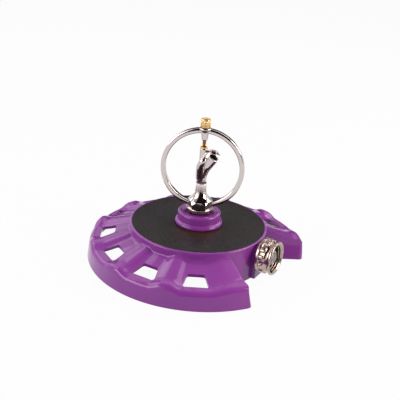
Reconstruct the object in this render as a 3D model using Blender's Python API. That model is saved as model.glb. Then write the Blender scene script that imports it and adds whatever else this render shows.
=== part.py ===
"""Rotary sprinkler: a cast base with a hose coupling, and a jet tube that spins in a ring.

Metres, +Z up. The origin is on the ground at the centre of the base. The spinner turns about
the Z axis, and the hose coupling lies along a horizontal line that points to INLET_AZIMUTH.
"""
import math

import bmesh
import bpy
from mathutils import Matrix, Vector

# Fits
CLEARANCE = 0.0003
WELD_DISTANCE = 0.000002
SCREW_STEPS = 12
BORE_STEPS = 16
SMALL_STEPS = 24
ROUND_STEPS = 28
FINE_STEPS = 40
RING_STEPS = 60

# Base casting
BASE_RADIUS = 0.1020
RIM_DRAFT = 0.0014
RIM_HEIGHT_AT_VALLEY = 0.0162
RIM_HEIGHT_AT_RIDGE = 0.0197
RIM_ROUND = 0.0048
RIM_WIDTH = 0.0120
PLATEAU_RADIUS = 0.0636
PLATEAU_HEIGHT = 0.0336
PLATEAU_EDGE = 0.0012
SKIRT_DROP_AT_RIDGE = 0.0051
SKIRT_DROP_AT_VALLEY = 0.0078
SKIRT_FILLET = 0.0012
CASTING_WALL = 0.0026
PLATE_THICKNESS = 0.0024
NOTCH_HALF_ANGLE = 33.5
NOTCH_WALL = 0.0031
NOTCH_CORNER = 0.0040
NOTCH_CORNER_SHARE = 0.3
NOTCH_DRAFT = 0.0040
RIDGE_PITCH = 30.0
STEPS_PER_PITCH = 8
VALLEY_HALF_ANGLE = 6.0
RIDGE_RISE_ANGLE = 7.0
WING_FALL_ANGLE = 13.0
WINDOW_COUNT = 9
WINDOW_RIM_GAP = 0.0115
WINDOW_LENGTH = 0.0135
WINDOW_INNER_WIDTH = 0.0150
WINDOW_OUTER_WIDTH = 0.0236
WINDOW_CORNER = 0.0020
CUTTER_MARGIN = 0.0020
INLET_AZIMUTH = -45.0
INLET_BOSS_RADIUS = 0.0100
INLET_BOSS_REACH = 0.0032

# Cover disc and collar
DISC_BORDER = 0.0020
DISC_THICKNESS = 0.0012
COLLAR_FOOT_RADIUS = 0.0196
COLLAR_BEAD_RADIUS = 0.0221
COLLAR_BEAD_HEIGHT = 0.0036
COLLAR_BEAD_ROUND = 0.0024
COLLAR_BODY_RADIUS = 0.0198
COLLAR_BODY_HEIGHT = 0.0084
COLLAR_EDGE = 0.0016
COLLAR_RIM_WIDTH = 0.0035
COLLAR_SINK = 0.0006
SPIGOT_RADIUS = 0.0090
WATER_RADIUS = 0.0046

# Passage under the plateau
MANIFOLD_PIPE_RADIUS = 0.0070
MANIFOLD_POST_RADIUS = 0.0096
MANIFOLD_FLANGE_RADIUS = 0.0190
MANIFOLD_FLANGE_THICKNESS = 0.0032
MANIFOLD_TAIL = 0.0085
SOCKET_RADIUS = 0.0079
SOCKET_LENGTH = 0.0200
SOCKET_WALL_GAP = 0.0063
GASKET_RADIUS = 0.0125
GASKET_THICKNESS = 0.0005
SCREW_COUNT = 4
SCREW_CIRCLE_RADIUS = 0.0158
SCREW_RADIUS = 0.0019
SCREW_HEAD_RADIUS = 0.0030
SCREW_HEAD_HEIGHT = 0.0022
SCREW_HEAD_BEVEL = 0.0007
SCREW_GRIP = 0.0055

# Hose coupling
TAILPIECE_END_RADIUS = 0.0062
TAILPIECE_MOUTH_RADIUS = 0.0061
TAILPIECE_RADIUS = 0.0079
TAILPIECE_FLANGE_RADIUS = 0.0118
TAILPIECE_FLANGE_THICKNESS = 0.0015
SEAL_CORD_RADIUS = 0.0007
NUT_BACK_GAP = 0.0004
NUT_BACK_WALL = 0.0022
NUT_LENGTH = 0.0145
NUT_FLANGE_RADIUS = 0.0158
NUT_FLANGE_LENGTH = 0.0034
NUT_EDGE = 0.0008
NUT_LUG_RADIUS = 0.0160
NUT_BAND_RADIUS = 0.0146
NUT_LUG_LENGTH = 0.0048
NUT_LUG_COUNT = 12
NUT_WAIST_RADIUS = 0.0141
NUT_RIM_RADIUS = 0.0154
NUT_RIM_LENGTH = 0.0022
NUT_BORE_RADIUS = 0.0126
NUT_MOUTH_CHAMFER = 0.0012
WASHER_THICKNESS = 0.0024
SCREEN_RADIUS = 0.0086
SCREEN_HEIGHT = 0.0092
SCREEN_THICKNESS = 0.0006

# Ring, hub and top boss
FRAME_AZIMUTH = -21.0
HEAD_GASKET_RADIUS = 0.0108
HEAD_GASKET_THICKNESS = 0.0024
HUB_THREAD_RADIUS = 0.0080
HUB_THREAD_LENGTH = 0.0080
HUB_FLANGE_RADIUS = 0.0124
HUB_FLANGE_HEIGHT = 0.0018
HUB_FLANGE_EDGE = 0.0006
HUB_FLAT_RADIUS = 0.0107
HUB_WAIST_RADIUS = 0.0110
HUB_BELL_RADIUS = 0.0128
HUB_HEX_HEIGHT = 0.0066
HUB_BELL_HEIGHT = 0.0089
HUB_BELL_START = 0.48
HUB_BELL_POWER = 1.8
NECK_RADIUS = 0.0052
RING_FOOT_RISE = 0.0009
RING_OUTER_RADIUS = 0.0380
RING_BAND_WIDTH = 0.0045
RING_BAND_DEPTH = 0.0056
RING_BAND_EDGE = 0.0013
BOSS_LIP = 0.0002
BOSS_TOP_RADIUS = 0.0054
BOSS_NECK_RADIUS = 0.0042
BOSS_BOTTOM_RADIUS = 0.0028
BOSS_LENGTH = 0.0116
BOSS_HEAD_HEIGHT = 0.0035
BOSS_EDGE = 0.0005
NOZZLE_BODY_RADIUS = 0.0029
NOZZLE_BODY_LENGTH = 0.0080
NOZZLE_FLANGE_RADIUS = 0.0039
NOZZLE_FLANGE_HEIGHT = 0.0009
NOZZLE_JET_RADIUS = 0.0015

# Spinner
SLEEVE_RADIUS = 0.0050
SLEEVE_HEIGHT = 0.0071
SLEEVE_EDGE = 0.0005
THRUST_THICKNESS = 0.0007
SPINNER_AZIMUTH = -36.0
SPINNER_SPIGOT_RADIUS = 0.0034
SPINNER_SPIGOT_LENGTH = 0.0062
SPINNER_BORE_RADIUS = 0.0024
SPINNER_STEM_RADIUS = 0.0048
SPINNER_STEM_HEIGHT = 0.0054
SPINNER_ELBOW_RADIUS = 0.0054
SPINNER_ELBOW_HEIGHT = 0.0102
SPINNER_MOUTH_RADIUS = 0.0052
SPINNER_MOUTH_BORE = 0.0039
SPINNER_SET_BACK = 0.0005
SPINNER_BEND_SHARE = 0.4
SPINNER_JET_TILT = 56.0
SPINNER_JET_LENGTH = 0.0172
PIN_SPAN = 0.0073
SPINNER_BOSS_RADIUS = 0.0036
SPINNER_BOSS_LENGTH = 0.0135
SPINNER_BOSS_EDGE = 0.0005
HOOD_START = (-0.0003, 0.0095)
HOOD_BEND_REACH = 0.0050
HOOD_BEND_DROP = 0.0022
HOOD_END_REACH = 0.0144
HOOD_END_DROP = 0.0070
HOOD_START_TILT = 84.0
HOOD_END_TILT = 20.0
HOOD_START_RADIUS = 0.0056
HOOD_RADIUS = 0.0068
HOOD_SWELL_SHARE = 0.33
HOOD_SIDE_SHARE = 0.83
HOOD_WALL = 0.0018
HOOD_FAR_ANGLE = 86.0
HOOD_NEAR_ANGLE = 48.0
HOOD_LIP_SHARE = 0.63
HOOD_MOUTH_SHARE = 0.70

# Pivot
BUSH_RADIUS = 0.0026
BUSH_LENGTH = 0.0050
BUSH_FLANGE_RADIUS = 0.0031
BUSH_FLANGE_HEIGHT = 0.0008
PIN_RADIUS = 0.0017
PIN_POINT = 0.0007
PIN_ENGAGEMENT = 0.0036
PIVOT_THREAD_RADIUS = 0.0019
PIVOT_HEAD_GAP = 0.0005
PIVOT_HEAD_RADIUS = 0.0045
PIVOT_HEAD_HEIGHT = 0.0076
PIVOT_HEAD_CHAMFER = 0.0005
PIVOT_RING_RADIUS = 0.0027
PIVOT_RING_CORD = 0.0005

# Levels that follow, from the ground up
RIM_RADIUS = BASE_RADIUS - RIM_DRAFT
LEDGE_RADIUS = BASE_RADIUS - RIM_WIDTH
WINDOW_OUTER_RADIUS = BASE_RADIUS - WINDOW_RIM_GAP
WINDOW_INNER_RADIUS = WINDOW_OUTER_RADIUS - WINDOW_LENGTH
DISC_RADIUS = PLATEAU_RADIUS - DISC_BORDER
RECESS_DEPTH = DISC_THICKNESS + CLEARANCE
RECESS_FLOOR = PLATEAU_HEIGHT - RECESS_DEPTH
PLATE_UNDERSIDE = RECESS_FLOOR - PLATE_THICKNESS
INLET_HEIGHT = PLATE_UNDERSIDE - SOCKET_RADIUS - CLEARANCE
SOCKET_END = PLATEAU_RADIUS - NOTCH_WALL - SOCKET_WALL_GAP
MANIFOLD_TOP = PLATE_UNDERSIDE - GASKET_THICKNESS - 2 * CLEARANCE
COLLAR_TOP = PLATEAU_HEIGHT + CLEARANCE + COLLAR_BEAD_HEIGHT + COLLAR_BODY_HEIGHT
COLLAR_SEAT = COLLAR_TOP - COLLAR_SINK
HUB_FOOT = COLLAR_SEAT + HEAD_GASKET_THICKNESS + 2 * CLEARANCE
HUB_HEX_FOOT = HUB_FOOT + HUB_FLANGE_HEIGHT
RING_CENTRE_HEIGHT = HUB_FOOT + RING_FOOT_RISE + RING_OUTER_RADIUS
NECK_TOP = HUB_HEX_FOOT + HUB_HEX_HEIGHT + HUB_BELL_HEIGHT
SLEEVE_FOOT = NECK_TOP + CLEARANCE
SLEEVE_TOP = SLEEVE_FOOT + SLEEVE_HEIGHT
SPINNER_FOOT = SLEEVE_TOP + THRUST_THICKNESS + 2 * CLEARANCE
BOSS_TOP = RING_CENTRE_HEIGHT + RING_OUTER_RADIUS + BOSS_LIP
BOSS_FOOT = BOSS_TOP - BOSS_LENGTH
SPINNER_TOP = BOSS_FOOT - PIN_SPAN
PIVOT_HEAD_FOOT = BOSS_TOP + PIVOT_HEAD_GAP
PIVOT_RING_LEVEL = PIVOT_HEAD_FOOT - CLEARANCE - PIVOT_RING_CORD
FORM_STEPS = STEPS_PER_PITCH * round(360 / RIDGE_PITCH)
INLET_FACE = PLATEAU_RADIUS + INLET_BOSS_REACH
NUT_BACK = INLET_FACE + NUT_BACK_GAP
NUT_MOUTH = NUT_BACK + NUT_LENGTH
TAILPIECE_FLANGE_BACK = NUT_BACK + NUT_BACK_WALL + CLEARANCE
TAILPIECE_FRONT = TAILPIECE_FLANGE_BACK + TAILPIECE_FLANGE_THICKNESS
TAILPIECE_SHOULDER = SOCKET_END + 2 * SEAL_CORD_RADIUS + 2 * CLEARANCE
SCREEN_BACK = TAILPIECE_FRONT + CLEARANCE

# Finishes: colour as linear values, metallic, roughness
PURPLE_POWDER_COAT = ("purple_powder_coat", (0.27, 0.055, 0.29), 0.0, 0.32)
BLACK_TEXTURED_SHEET = ("black_textured_sheet", (0.036, 0.034, 0.034), 0.0, 0.62)
CHROME = ("chrome", (0.62, 0.59, 0.58), 1.0, 0.08)
NICKEL = ("nickel_plate", (0.45, 0.36, 0.30), 1.0, 0.24)
BRASS = ("brass", (0.70, 0.45, 0.17), 1.0, 0.28)
BLACK_RUBBER = ("black_rubber", (0.02, 0.02, 0.02), 0.0, 0.75)
GREY_PLASTIC = ("grey_plastic", (0.16, 0.15, 0.14), 0.0, 0.5)
STAINLESS = ("stainless_steel", (0.42, 0.40, 0.38), 1.0, 0.35)


def clear_scene():
    """Empty the file of its objects."""
    for old in list(bpy.data.objects):
        bpy.data.objects.remove(old, do_unlink=True)


def finish_material(finish):
    """Return the Principled material of a finish, made on first use."""
    name, colour, metallic, roughness = finish
    found = bpy.data.materials.get(name)
    if found:
        return found
    made = bpy.data.materials.new(name)
    made.use_nodes = True
    shader = made.node_tree.nodes["Principled BSDF"]
    shader.inputs["Base Color"].default_value = (*colour, 1.0)
    shader.inputs["Metallic"].default_value = metallic
    shader.inputs["Roughness"].default_value = roughness
    made.diffuse_color = (*colour, 1.0)
    return made


def mesh_object(name, points, faces):
    """Make a closed mesh object with its faces pointing outwards."""
    mesh = bpy.data.meshes.new(name)
    mesh.from_pydata([tuple(point) for point in points], [], faces)
    shape = bmesh.new()
    shape.from_mesh(mesh)
    bmesh.ops.recalc_face_normals(shape, faces=shape.faces)
    shape.to_mesh(mesh)
    shape.free()
    made = bpy.data.objects.new(name, mesh)
    bpy.context.scene.collection.objects.link(made)
    return made


def ring_faces(lower, upper):
    """Return the faces between two rings of vertex numbers, where a ring may be one point."""
    count = max(len(lower), len(upper))
    faces = []
    for i in range(count):
        j = (i + 1) % count
        if len(lower) == 1:
            faces.append((lower[0], upper[j], upper[i]))
        elif len(upper) == 1:
            faces.append((lower[i], lower[j], upper[0]))
        else:
            faces.append((lower[i], lower[j], upper[j], upper[i]))
    return faces


def turned(name, profile, steps=ROUND_STEPS):
    """Turn a profile of (radius, height) points round the local Z axis.

    A profile that starts and ends on the axis makes a solid. Any other closes on itself.
    """
    points = []
    rings = []
    for radius, height in profile:
        if radius <= 0:
            rings.append([len(points)])
            points.append((0.0, 0.0, height))
            continue
        rings.append(list(range(len(points), len(points) + steps)))
        for i in range(steps):
            angle = 2 * math.pi * i / steps
            points.append((radius * math.cos(angle), radius * math.sin(angle), height))
    faces = []
    for lower, upper in zip(rings, rings[1:]):
        if len(lower) > 1 or len(upper) > 1:
            faces.extend(ring_faces(lower, upper))
    if profile[0][0] > 0:
        faces.extend(ring_faces(rings[-1], rings[0]))
    return mesh_object(name, points, faces)


def stacked(name, levels):
    """Join flat outlines of (x, y) points, given as (outline, height) from the foot up."""
    points = []
    rings = []
    for outline, height in levels:
        rings.append(list(range(len(points), len(points) + len(outline))))
        points.extend((x, y, height) for x, y in outline)
    faces = [tuple(rings[0]), tuple(rings[-1])]
    for lower, upper in zip(rings, rings[1:]):
        faces.extend(ring_faces(lower, upper))
    return mesh_object(name, points, faces)


def prism(name, outline, low, high):
    """Extrude a flat outline of (x, y) points from one local height to another."""
    return stacked(name, [(outline, low), (outline, high)])


def arc(centre, radius, start, end, steps):
    """Return points along an arc about a centre, with angles in degrees."""
    points = []
    for i in range(steps + 1):
        angle = math.radians(start + (end - start) * i / steps)
        points.append((centre[0] + radius * math.cos(angle), centre[1] + radius * math.sin(angle)))
    return points


def rounded_outline(corners, radius, steps=3):
    """Round each corner of a convex outline that runs anticlockwise."""
    outline = []
    count = len(corners)
    for i, corner in enumerate(corners):
        here = Vector(corner)
        back = (Vector(corners[i - 1]) - here).normalized()
        ahead = (Vector(corners[(i + 1) % count]) - here).normalized()
        half = back.angle(ahead) / 2
        centre = here + (back + ahead).normalized() * radius / math.sin(half)
        start = here + back * radius / math.tan(half) - centre
        end = here + ahead * radius / math.tan(half) - centre
        turn = start.angle(end)
        for k in range(steps + 1):
            swing = Matrix.Rotation(turn * k / steps, 2)
            outline.append(tuple(centre + swing @ start))
    return outline


def combine(body, tool, operation):
    """Apply a Boolean of the tool to the body, weld its doubled points and remove the tool."""
    modifier = body.modifiers.new("combine", "BOOLEAN")
    modifier.operation = operation
    modifier.solver = "EXACT"
    modifier.object = tool
    graph = bpy.context.evaluated_depsgraph_get()
    mesh = bpy.data.meshes.new_from_object(body.evaluated_get(graph))
    shape = bmesh.new()
    shape.from_mesh(mesh)
    bmesh.ops.remove_doubles(shape, verts=shape.verts, dist=WELD_DISTANCE)
    shape.to_mesh(mesh)
    shape.free()
    body.modifiers.clear()
    body.data = mesh
    bpy.data.objects.remove(tool, do_unlink=True)
    return body


def move_mesh(shape, matrix):
    """Move a shape's mesh, while its origin stays."""
    shape.data.transform(matrix)
    shape.data.update()
    return shape


def dress(shape, finish, sharp_angle=32.0):
    """Give a finished shape its material and its shading."""
    shape.data.materials.clear()
    shape.data.materials.append(finish_material(finish))
    shape.data.shade_smooth()
    shape.data.set_sharp_from_angle(angle=math.radians(sharp_angle))
    return shape


def inlet_matrix():
    """Return the frame of the hose coupling: local Z runs outwards along its axis."""
    angle = math.radians(INLET_AZIMUTH)
    outward = Vector((math.cos(angle), math.sin(angle), 0))
    up = Vector((0, 0, 1))
    sideways = up.cross(outward)
    matrix = Matrix((sideways, up, outward)).transposed().to_4x4()
    matrix.translation = (0, 0, INLET_HEIGHT)
    return matrix


def flat_turn(azimuth):
    """Return a turn about the Z axis, in degrees."""
    return Matrix.Rotation(math.radians(azimuth), 4, "Z")


def ridge_share(angle):
    """Return 0 on a valley floor of the skirt and 1 on a ridge, at degrees from the notch."""
    away = abs((angle + 180) % 360 - 180)
    first_valley = 2 * RIDGE_PITCH
    if away < first_valley:
        rise = (first_valley - away - VALLEY_HALF_ANGLE) / WING_FALL_ANGLE
    else:
        from_valley = abs((away + RIDGE_PITCH / 2) % RIDGE_PITCH - RIDGE_PITCH / 2)
        rise = (from_valley - VALLEY_HALF_ANGLE) / RIDGE_RISE_ANGLE
    rise = min(max(rise, 0.0), 1.0)
    return rise * rise * (3 - 2 * rise)


def skirt_levels(share):
    """Return the skirt's height at the plateau's wall and at the rim's ledge."""
    drop = SKIRT_DROP_AT_VALLEY + (SKIRT_DROP_AT_RIDGE - SKIRT_DROP_AT_VALLEY) * share
    rim = RIM_HEIGHT_AT_VALLEY + (RIM_HEIGHT_AT_RIDGE - RIM_HEIGHT_AT_VALLEY) * share
    return PLATEAU_HEIGHT - drop, rim


def outer_section(share):
    """Return the outside of the casting, from the plateau's edge down to the ground."""
    wall_level, rim_level = skirt_levels(share)
    slope = (wall_level - rim_level) / (LEDGE_RADIUS - PLATEAU_RADIUS)
    edge_centre = (PLATEAU_RADIUS - PLATEAU_EDGE, PLATEAU_HEIGHT - PLATEAU_EDGE)
    section = arc(edge_centre, PLATEAU_EDGE, 90, 0, 2)
    section += [
        (PLATEAU_RADIUS, wall_level + SKIRT_FILLET * (1 - slope)),
        (PLATEAU_RADIUS + SKIRT_FILLET, wall_level - slope * SKIRT_FILLET),
        (LEDGE_RADIUS, rim_level),
    ]
    section += arc((RIM_RADIUS - RIM_ROUND, rim_level - RIM_ROUND), RIM_ROUND, 90, 0, 3)
    return section + [(BASE_RADIUS, 0.0)]


def inner_section(share):
    """Return the inside of the casting, one wall below its outside, down past the ground."""
    wall_level, rim_level = skirt_levels(share)
    run = LEDGE_RADIUS - PLATEAU_RADIUS
    slope = (wall_level - rim_level) / run
    below = CASTING_WALL * math.hypot(1, slope)
    inside = PLATEAU_RADIUS - CASTING_WALL
    side = RIM_RADIUS - CASTING_WALL
    corner = RIM_ROUND - CASTING_WALL
    return [
        (inside, PLATE_UNDERSIDE),
        (inside, wall_level - below + slope * CASTING_WALL),
        (LEDGE_RADIUS, rim_level - below),
        (side - corner, rim_level - below),
        (side, rim_level - below - corner),
        (BASE_RADIUS - CASTING_WALL, 0.0),
        (BASE_RADIUS - CASTING_WALL, -CUTTER_MARGIN),
    ]


def base_form(name, section, foot):
    """Loft a section round the base, with a flat top and a flat foot."""
    steps = FORM_STEPS
    columns = []
    for i in range(steps):
        angle = 360.0 * i / steps
        turn = math.radians(angle + INLET_AZIMUTH)
        profile = section(ridge_share(angle))
        columns.append([(r * math.cos(turn), r * math.sin(turn), z) for r, z in profile])
    rows = len(columns[0])
    points = [(0, 0, columns[0][0][2])]
    rings = [[0]]
    for row in range(rows):
        rings.append(list(range(len(points), len(points) + steps)))
        points.extend(column[row] for column in columns)
    rings.append([len(points)])
    points.append((0, 0, foot))
    faces = []
    for upper, lower in zip(rings, rings[1:]):
        faces.extend(ring_faces(lower, upper))
    return mesh_object(name, points, faces)


def notch_outline(wall, side_offset):
    """Return the wedge that opens the notch, cut to a radius and moved out past its sides."""
    half = math.radians(NOTCH_HALF_ANGLE)
    steps = STEPS_PER_PITCH * 2
    middle = math.radians(INLET_AZIMUTH)
    flare = NOTCH_CORNER / BASE_RADIUS
    side = [
        (BASE_RADIUS - NOTCH_CORNER, 0),
        (BASE_RADIUS - NOTCH_CORNER_SHARE * NOTCH_CORNER, NOTCH_CORNER_SHARE * flare),
        (BASE_RADIUS, flare),
        (BASE_RADIUS * 2, flare),
    ]
    start = half + math.asin(side_offset / wall)
    polar = [(wall, start * (2 * i / steps - 1)) for i in range(steps + 1)]
    edge = [(radius, half + math.asin(side_offset / radius) + extra) for radius, extra in side]
    polar += edge + [(radius, -angle) for radius, angle in edge[::-1]]
    return [(r * math.cos(middle + a), r * math.sin(middle + a)) for r, a in polar]


def notch_cutter(name, wall, side_offset):
    """Make the notch's cutter: it narrows from the rim's top down to the ground."""
    wide = notch_outline(wall, side_offset)
    narrow = notch_outline(wall, side_offset - NOTCH_DRAFT)
    levels = [
        (narrow, -PLATEAU_HEIGHT),
        (narrow, 0.0),
        (wide, RIM_HEIGHT_AT_VALLEY),
        (wide, PLATEAU_HEIGHT * 2),
    ]
    return stacked(name, levels)


def window_cutters():
    """Make the nine window cutters, one in each valley of the skirt."""
    inner = WINDOW_INNER_WIDTH / 2
    outer = WINDOW_OUTER_WIDTH / 2
    corners = [
        (WINDOW_INNER_RADIUS, -inner),
        (WINDOW_OUTER_RADIUS, -outer),
        (WINDOW_OUTER_RADIUS, outer),
        (WINDOW_INNER_RADIUS, inner),
    ]
    cutters = []
    for i in range(WINDOW_COUNT):
        outline = rounded_outline(corners, WINDOW_CORNER)
        cutter = prism(f"window_cutter_{i}", outline, -CUTTER_MARGIN, PLATEAU_HEIGHT)
        azimuth = INLET_AZIMUTH + RIDGE_PITCH * (2 + i)
        cutters.append(move_mesh(cutter, flat_turn(azimuth)))
    return cutters


def screw_places():
    """Return the plan places of the screws between the manifold and the collar."""
    places = []
    for i in range(SCREW_COUNT):
        angle = math.radians(INLET_AZIMUTH + 360 * (i + 0.5) / SCREW_COUNT)
        places.append((SCREW_CIRCLE_RADIUS * math.cos(angle), SCREW_CIRCLE_RADIUS * math.sin(angle)))
    return places


def screw_hole_cutters(low, high):
    """Make a clearance hole cutter at each screw."""
    cutters = []
    radius = SCREW_RADIUS + CLEARANCE
    profile = [(0, low), (radius, low), (radius, high), (0, high)]
    half_step = flat_turn(180 / SCREW_STEPS)
    for x, y in screw_places():
        cutter = turned("screw_hole", profile, SCREW_STEPS)
        cutters.append(move_mesh(cutter, Matrix.Translation((x, y, 0)) @ half_step))
    return cutters


def make_base_casting():
    """The hollow casting: plateau, wavy skirt, rim, notch, windows and inlet boss."""
    casting = base_form("base_casting", outer_section, 0.0)
    combine(casting, notch_cutter("notch", PLATEAU_RADIUS, 0.0), "DIFFERENCE")
    hollow = base_form("hollow", inner_section, -CUTTER_MARGIN)
    inner_notch = notch_cutter("inner_notch", PLATEAU_RADIUS - NOTCH_WALL, CASTING_WALL)
    combine(hollow, inner_notch, "DIFFERENCE")
    combine(casting, hollow, "DIFFERENCE")
    for cutter in window_cutters():
        combine(casting, cutter, "DIFFERENCE")

    boss_outline = arc((0, 0), INLET_BOSS_RADIUS, 0, 180, BORE_STEPS)
    boss_outline += [(-INLET_BOSS_RADIUS, -INLET_HEIGHT), (INLET_BOSS_RADIUS, -INLET_HEIGHT)]
    boss = prism("inlet_boss", boss_outline, PLATEAU_RADIUS - CUTTER_MARGIN, INLET_FACE)
    combine(casting, move_mesh(boss, inlet_matrix()), "UNION")

    recess_radius = DISC_RADIUS + CLEARANCE
    above = PLATEAU_HEIGHT + CUTTER_MARGIN
    recess = [(0, RECESS_FLOOR), (recess_radius, RECESS_FLOOR), (recess_radius, above), (0, above)]
    combine(casting, turned("recess", recess, FORM_STEPS), "DIFFERENCE")

    hole_radius = SPIGOT_RADIUS + CLEARANCE
    low = PLATE_UNDERSIDE - CUTTER_MARGIN
    hole = turned("hole", [(0, low), (hole_radius, low), (hole_radius, above), (0, above)])
    combine(casting, move_mesh(hole, flat_turn(180 / ROUND_STEPS)), "DIFFERENCE")
    for cutter in screw_hole_cutters(low, above):
        combine(casting, cutter, "DIFFERENCE")

    bore = TAILPIECE_RADIUS + CLEARANCE
    back = TAILPIECE_SHOULDER
    front = NUT_MOUTH
    inlet = turned("inlet", [(0, back), (bore, back), (bore, front), (0, front)])
    combine(casting, move_mesh(inlet, inlet_matrix()), "DIFFERENCE")
    return dress(casting, PURPLE_POWDER_COAT, 22.0)


def make_cover_disc():
    """The thin sheet in the plateau's recess, with a hole for the collar's foot."""
    floor = RECESS_FLOOR + CLEARANCE
    hole = COLLAR_FOOT_RADIUS + CLEARANCE
    top = PLATEAU_HEIGHT
    profile = [(hole, floor), (DISC_RADIUS, floor), (DISC_RADIUS, top), (hole, top)]
    disc = turned("cover_disc", profile, FORM_STEPS)
    return dress(disc, BLACK_TEXTURED_SHEET)


def make_riser_collar():
    """The stepped collar that stands on the plateau and takes the hub's thread."""
    foot = RECESS_FLOOR + CLEARANCE
    bead_foot = PLATEAU_HEIGHT + CLEARANCE
    bead_top = bead_foot + COLLAR_BEAD_HEIGHT
    edge = COLLAR_EDGE
    socket = HUB_THREAD_RADIUS + CLEARANCE
    socket_floor = HUB_FOOT - HUB_THREAD_LENGTH - CLEARANCE
    seat_radius = COLLAR_BODY_RADIUS - COLLAR_RIM_WIDTH
    profile = [
        (WATER_RADIUS, PLATE_UNDERSIDE),
        (SPIGOT_RADIUS, PLATE_UNDERSIDE),
        (SPIGOT_RADIUS, foot),
        (COLLAR_FOOT_RADIUS, foot),
        (COLLAR_FOOT_RADIUS, bead_foot),
    ]
    bulge = COLLAR_BEAD_ROUND
    bulge_centre = (COLLAR_BEAD_RADIUS - bulge, bead_top - bulge)
    profile += [(COLLAR_BEAD_RADIUS - COLLAR_SINK, bead_foot)]
    profile += arc(bulge_centre, bulge, -15, 75, 4)
    profile += [(COLLAR_BODY_RADIUS, bead_top + COLLAR_SINK)]
    profile += arc((COLLAR_BODY_RADIUS - edge, COLLAR_TOP - edge), edge, 0, 90, 2)
    profile += [
        (seat_radius, COLLAR_TOP),
        (seat_radius - COLLAR_SINK, COLLAR_SEAT),
        (socket, COLLAR_SEAT),
        (socket, socket_floor),
        (WATER_RADIUS, socket_floor),
    ]
    collar = turned("riser_collar", profile, FINE_STEPS)
    for cutter in screw_hole_cutters(foot - CUTTER_MARGIN, foot + SCREW_GRIP + CLEARANCE):
        combine(collar, cutter, "DIFFERENCE")
    return dress(collar, PURPLE_POWDER_COAT)


def make_inlet_manifold():
    """The elbow under the plateau: a pipe from the coupling to the foot of the collar."""
    socket_start = SOCKET_END - SOCKET_LENGTH
    pipe_profile = [
        (0, -MANIFOLD_TAIL),
        (MANIFOLD_PIPE_RADIUS, -MANIFOLD_TAIL),
        (MANIFOLD_PIPE_RADIUS, socket_start),
        (SOCKET_RADIUS, socket_start),
        (SOCKET_RADIUS, SOCKET_END),
        (0, SOCKET_END),
    ]
    manifold = move_mesh(turned("inlet_manifold", pipe_profile, SMALL_STEPS), inlet_matrix())
    post_foot = INLET_HEIGHT - MANIFOLD_POST_RADIUS
    flange_foot = MANIFOLD_TOP - MANIFOLD_FLANGE_THICKNESS
    post_profile = [
        (0, post_foot),
        (MANIFOLD_POST_RADIUS, post_foot),
        (MANIFOLD_POST_RADIUS, flange_foot),
        (MANIFOLD_FLANGE_RADIUS, flange_foot),
        (MANIFOLD_FLANGE_RADIUS, MANIFOLD_TOP),
        (0, MANIFOLD_TOP),
    ]
    combine(manifold, turned("post", post_profile), "UNION")
    socket = TAILPIECE_END_RADIUS + CLEARANCE
    socket_floor = socket_start + CASTING_WALL
    past = SOCKET_END + CUTTER_MARGIN
    bore_profile = [(0, 0), (WATER_RADIUS, 0), (WATER_RADIUS, socket_floor)]
    bore_profile += [(socket, socket_floor), (socket, past), (0, past)]
    combine(manifold, move_mesh(turned("bore", bore_profile, BORE_STEPS), inlet_matrix()), "DIFFERENCE")
    above = PLATEAU_HEIGHT
    rise = [(0, INLET_HEIGHT), (WATER_RADIUS, INLET_HEIGHT), (WATER_RADIUS, above), (0, above)]
    combine(manifold, turned("rise", rise, BORE_STEPS), "DIFFERENCE")
    for cutter in screw_hole_cutters(flange_foot - CUTTER_MARGIN, above):
        combine(manifold, cutter, "DIFFERENCE")
    return dress(manifold, GREY_PLASTIC)


def make_manifold_gasket():
    """The flat seal between the manifold's flange and the collar's spigot."""
    low = MANIFOLD_TOP + CLEARANCE
    high = low + GASKET_THICKNESS
    profile = [(WATER_RADIUS, low), (GASKET_RADIUS, low), (GASKET_RADIUS, high), (WATER_RADIUS, high)]
    return dress(turned("manifold_gasket", profile), BLACK_RUBBER)


def make_manifold_screws():
    """The pan head screws that pull the manifold up to the collar."""
    head_top = MANIFOLD_TOP - MANIFOLD_FLANGE_THICKNESS - CLEARANCE
    head_foot = head_top - SCREW_HEAD_HEIGHT
    tip = RECESS_FLOOR + CLEARANCE + SCREW_GRIP
    bevel = SCREW_HEAD_BEVEL
    profile = [
        (0, head_foot),
        (SCREW_HEAD_RADIUS - bevel, head_foot),
        (SCREW_HEAD_RADIUS, head_foot + bevel),
        (SCREW_HEAD_RADIUS, head_top),
        (SCREW_RADIUS, head_top),
        (SCREW_RADIUS, tip),
        (0, tip),
    ]
    screw_mesh = None
    for number, (x, y) in enumerate(screw_places(), 1):
        name = f"manifold_screw_{number}"
        if screw_mesh is None:
            screw = dress(turned(name, profile, SCREW_STEPS), STAINLESS)
            screw_mesh = screw.data
        else:
            screw = bpy.data.objects.new(name, screw_mesh)
            bpy.context.scene.collection.objects.link(screw)
        screw.location = (x, y, 0)


def make_inlet_tailpiece():
    """The nipple that holds the swivel nut and screws into the manifold."""
    end = SOCKET_END - SOCKET_LENGTH + CASTING_WALL + CLEARANCE
    profile = [
        (WATER_RADIUS, end),
        (TAILPIECE_END_RADIUS, end),
        (TAILPIECE_END_RADIUS, TAILPIECE_SHOULDER),
        (TAILPIECE_RADIUS, TAILPIECE_SHOULDER),
        (TAILPIECE_RADIUS, TAILPIECE_FLANGE_BACK),
        (TAILPIECE_FLANGE_RADIUS, TAILPIECE_FLANGE_BACK),
        (TAILPIECE_FLANGE_RADIUS, TAILPIECE_FRONT),
        (TAILPIECE_MOUTH_RADIUS, TAILPIECE_FRONT),
        (WATER_RADIUS, TAILPIECE_FLANGE_BACK - NUT_BACK_WALL),
    ]
    tailpiece = move_mesh(turned("inlet_tailpiece", profile), inlet_matrix())
    return dress(tailpiece, BRASS)


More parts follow.
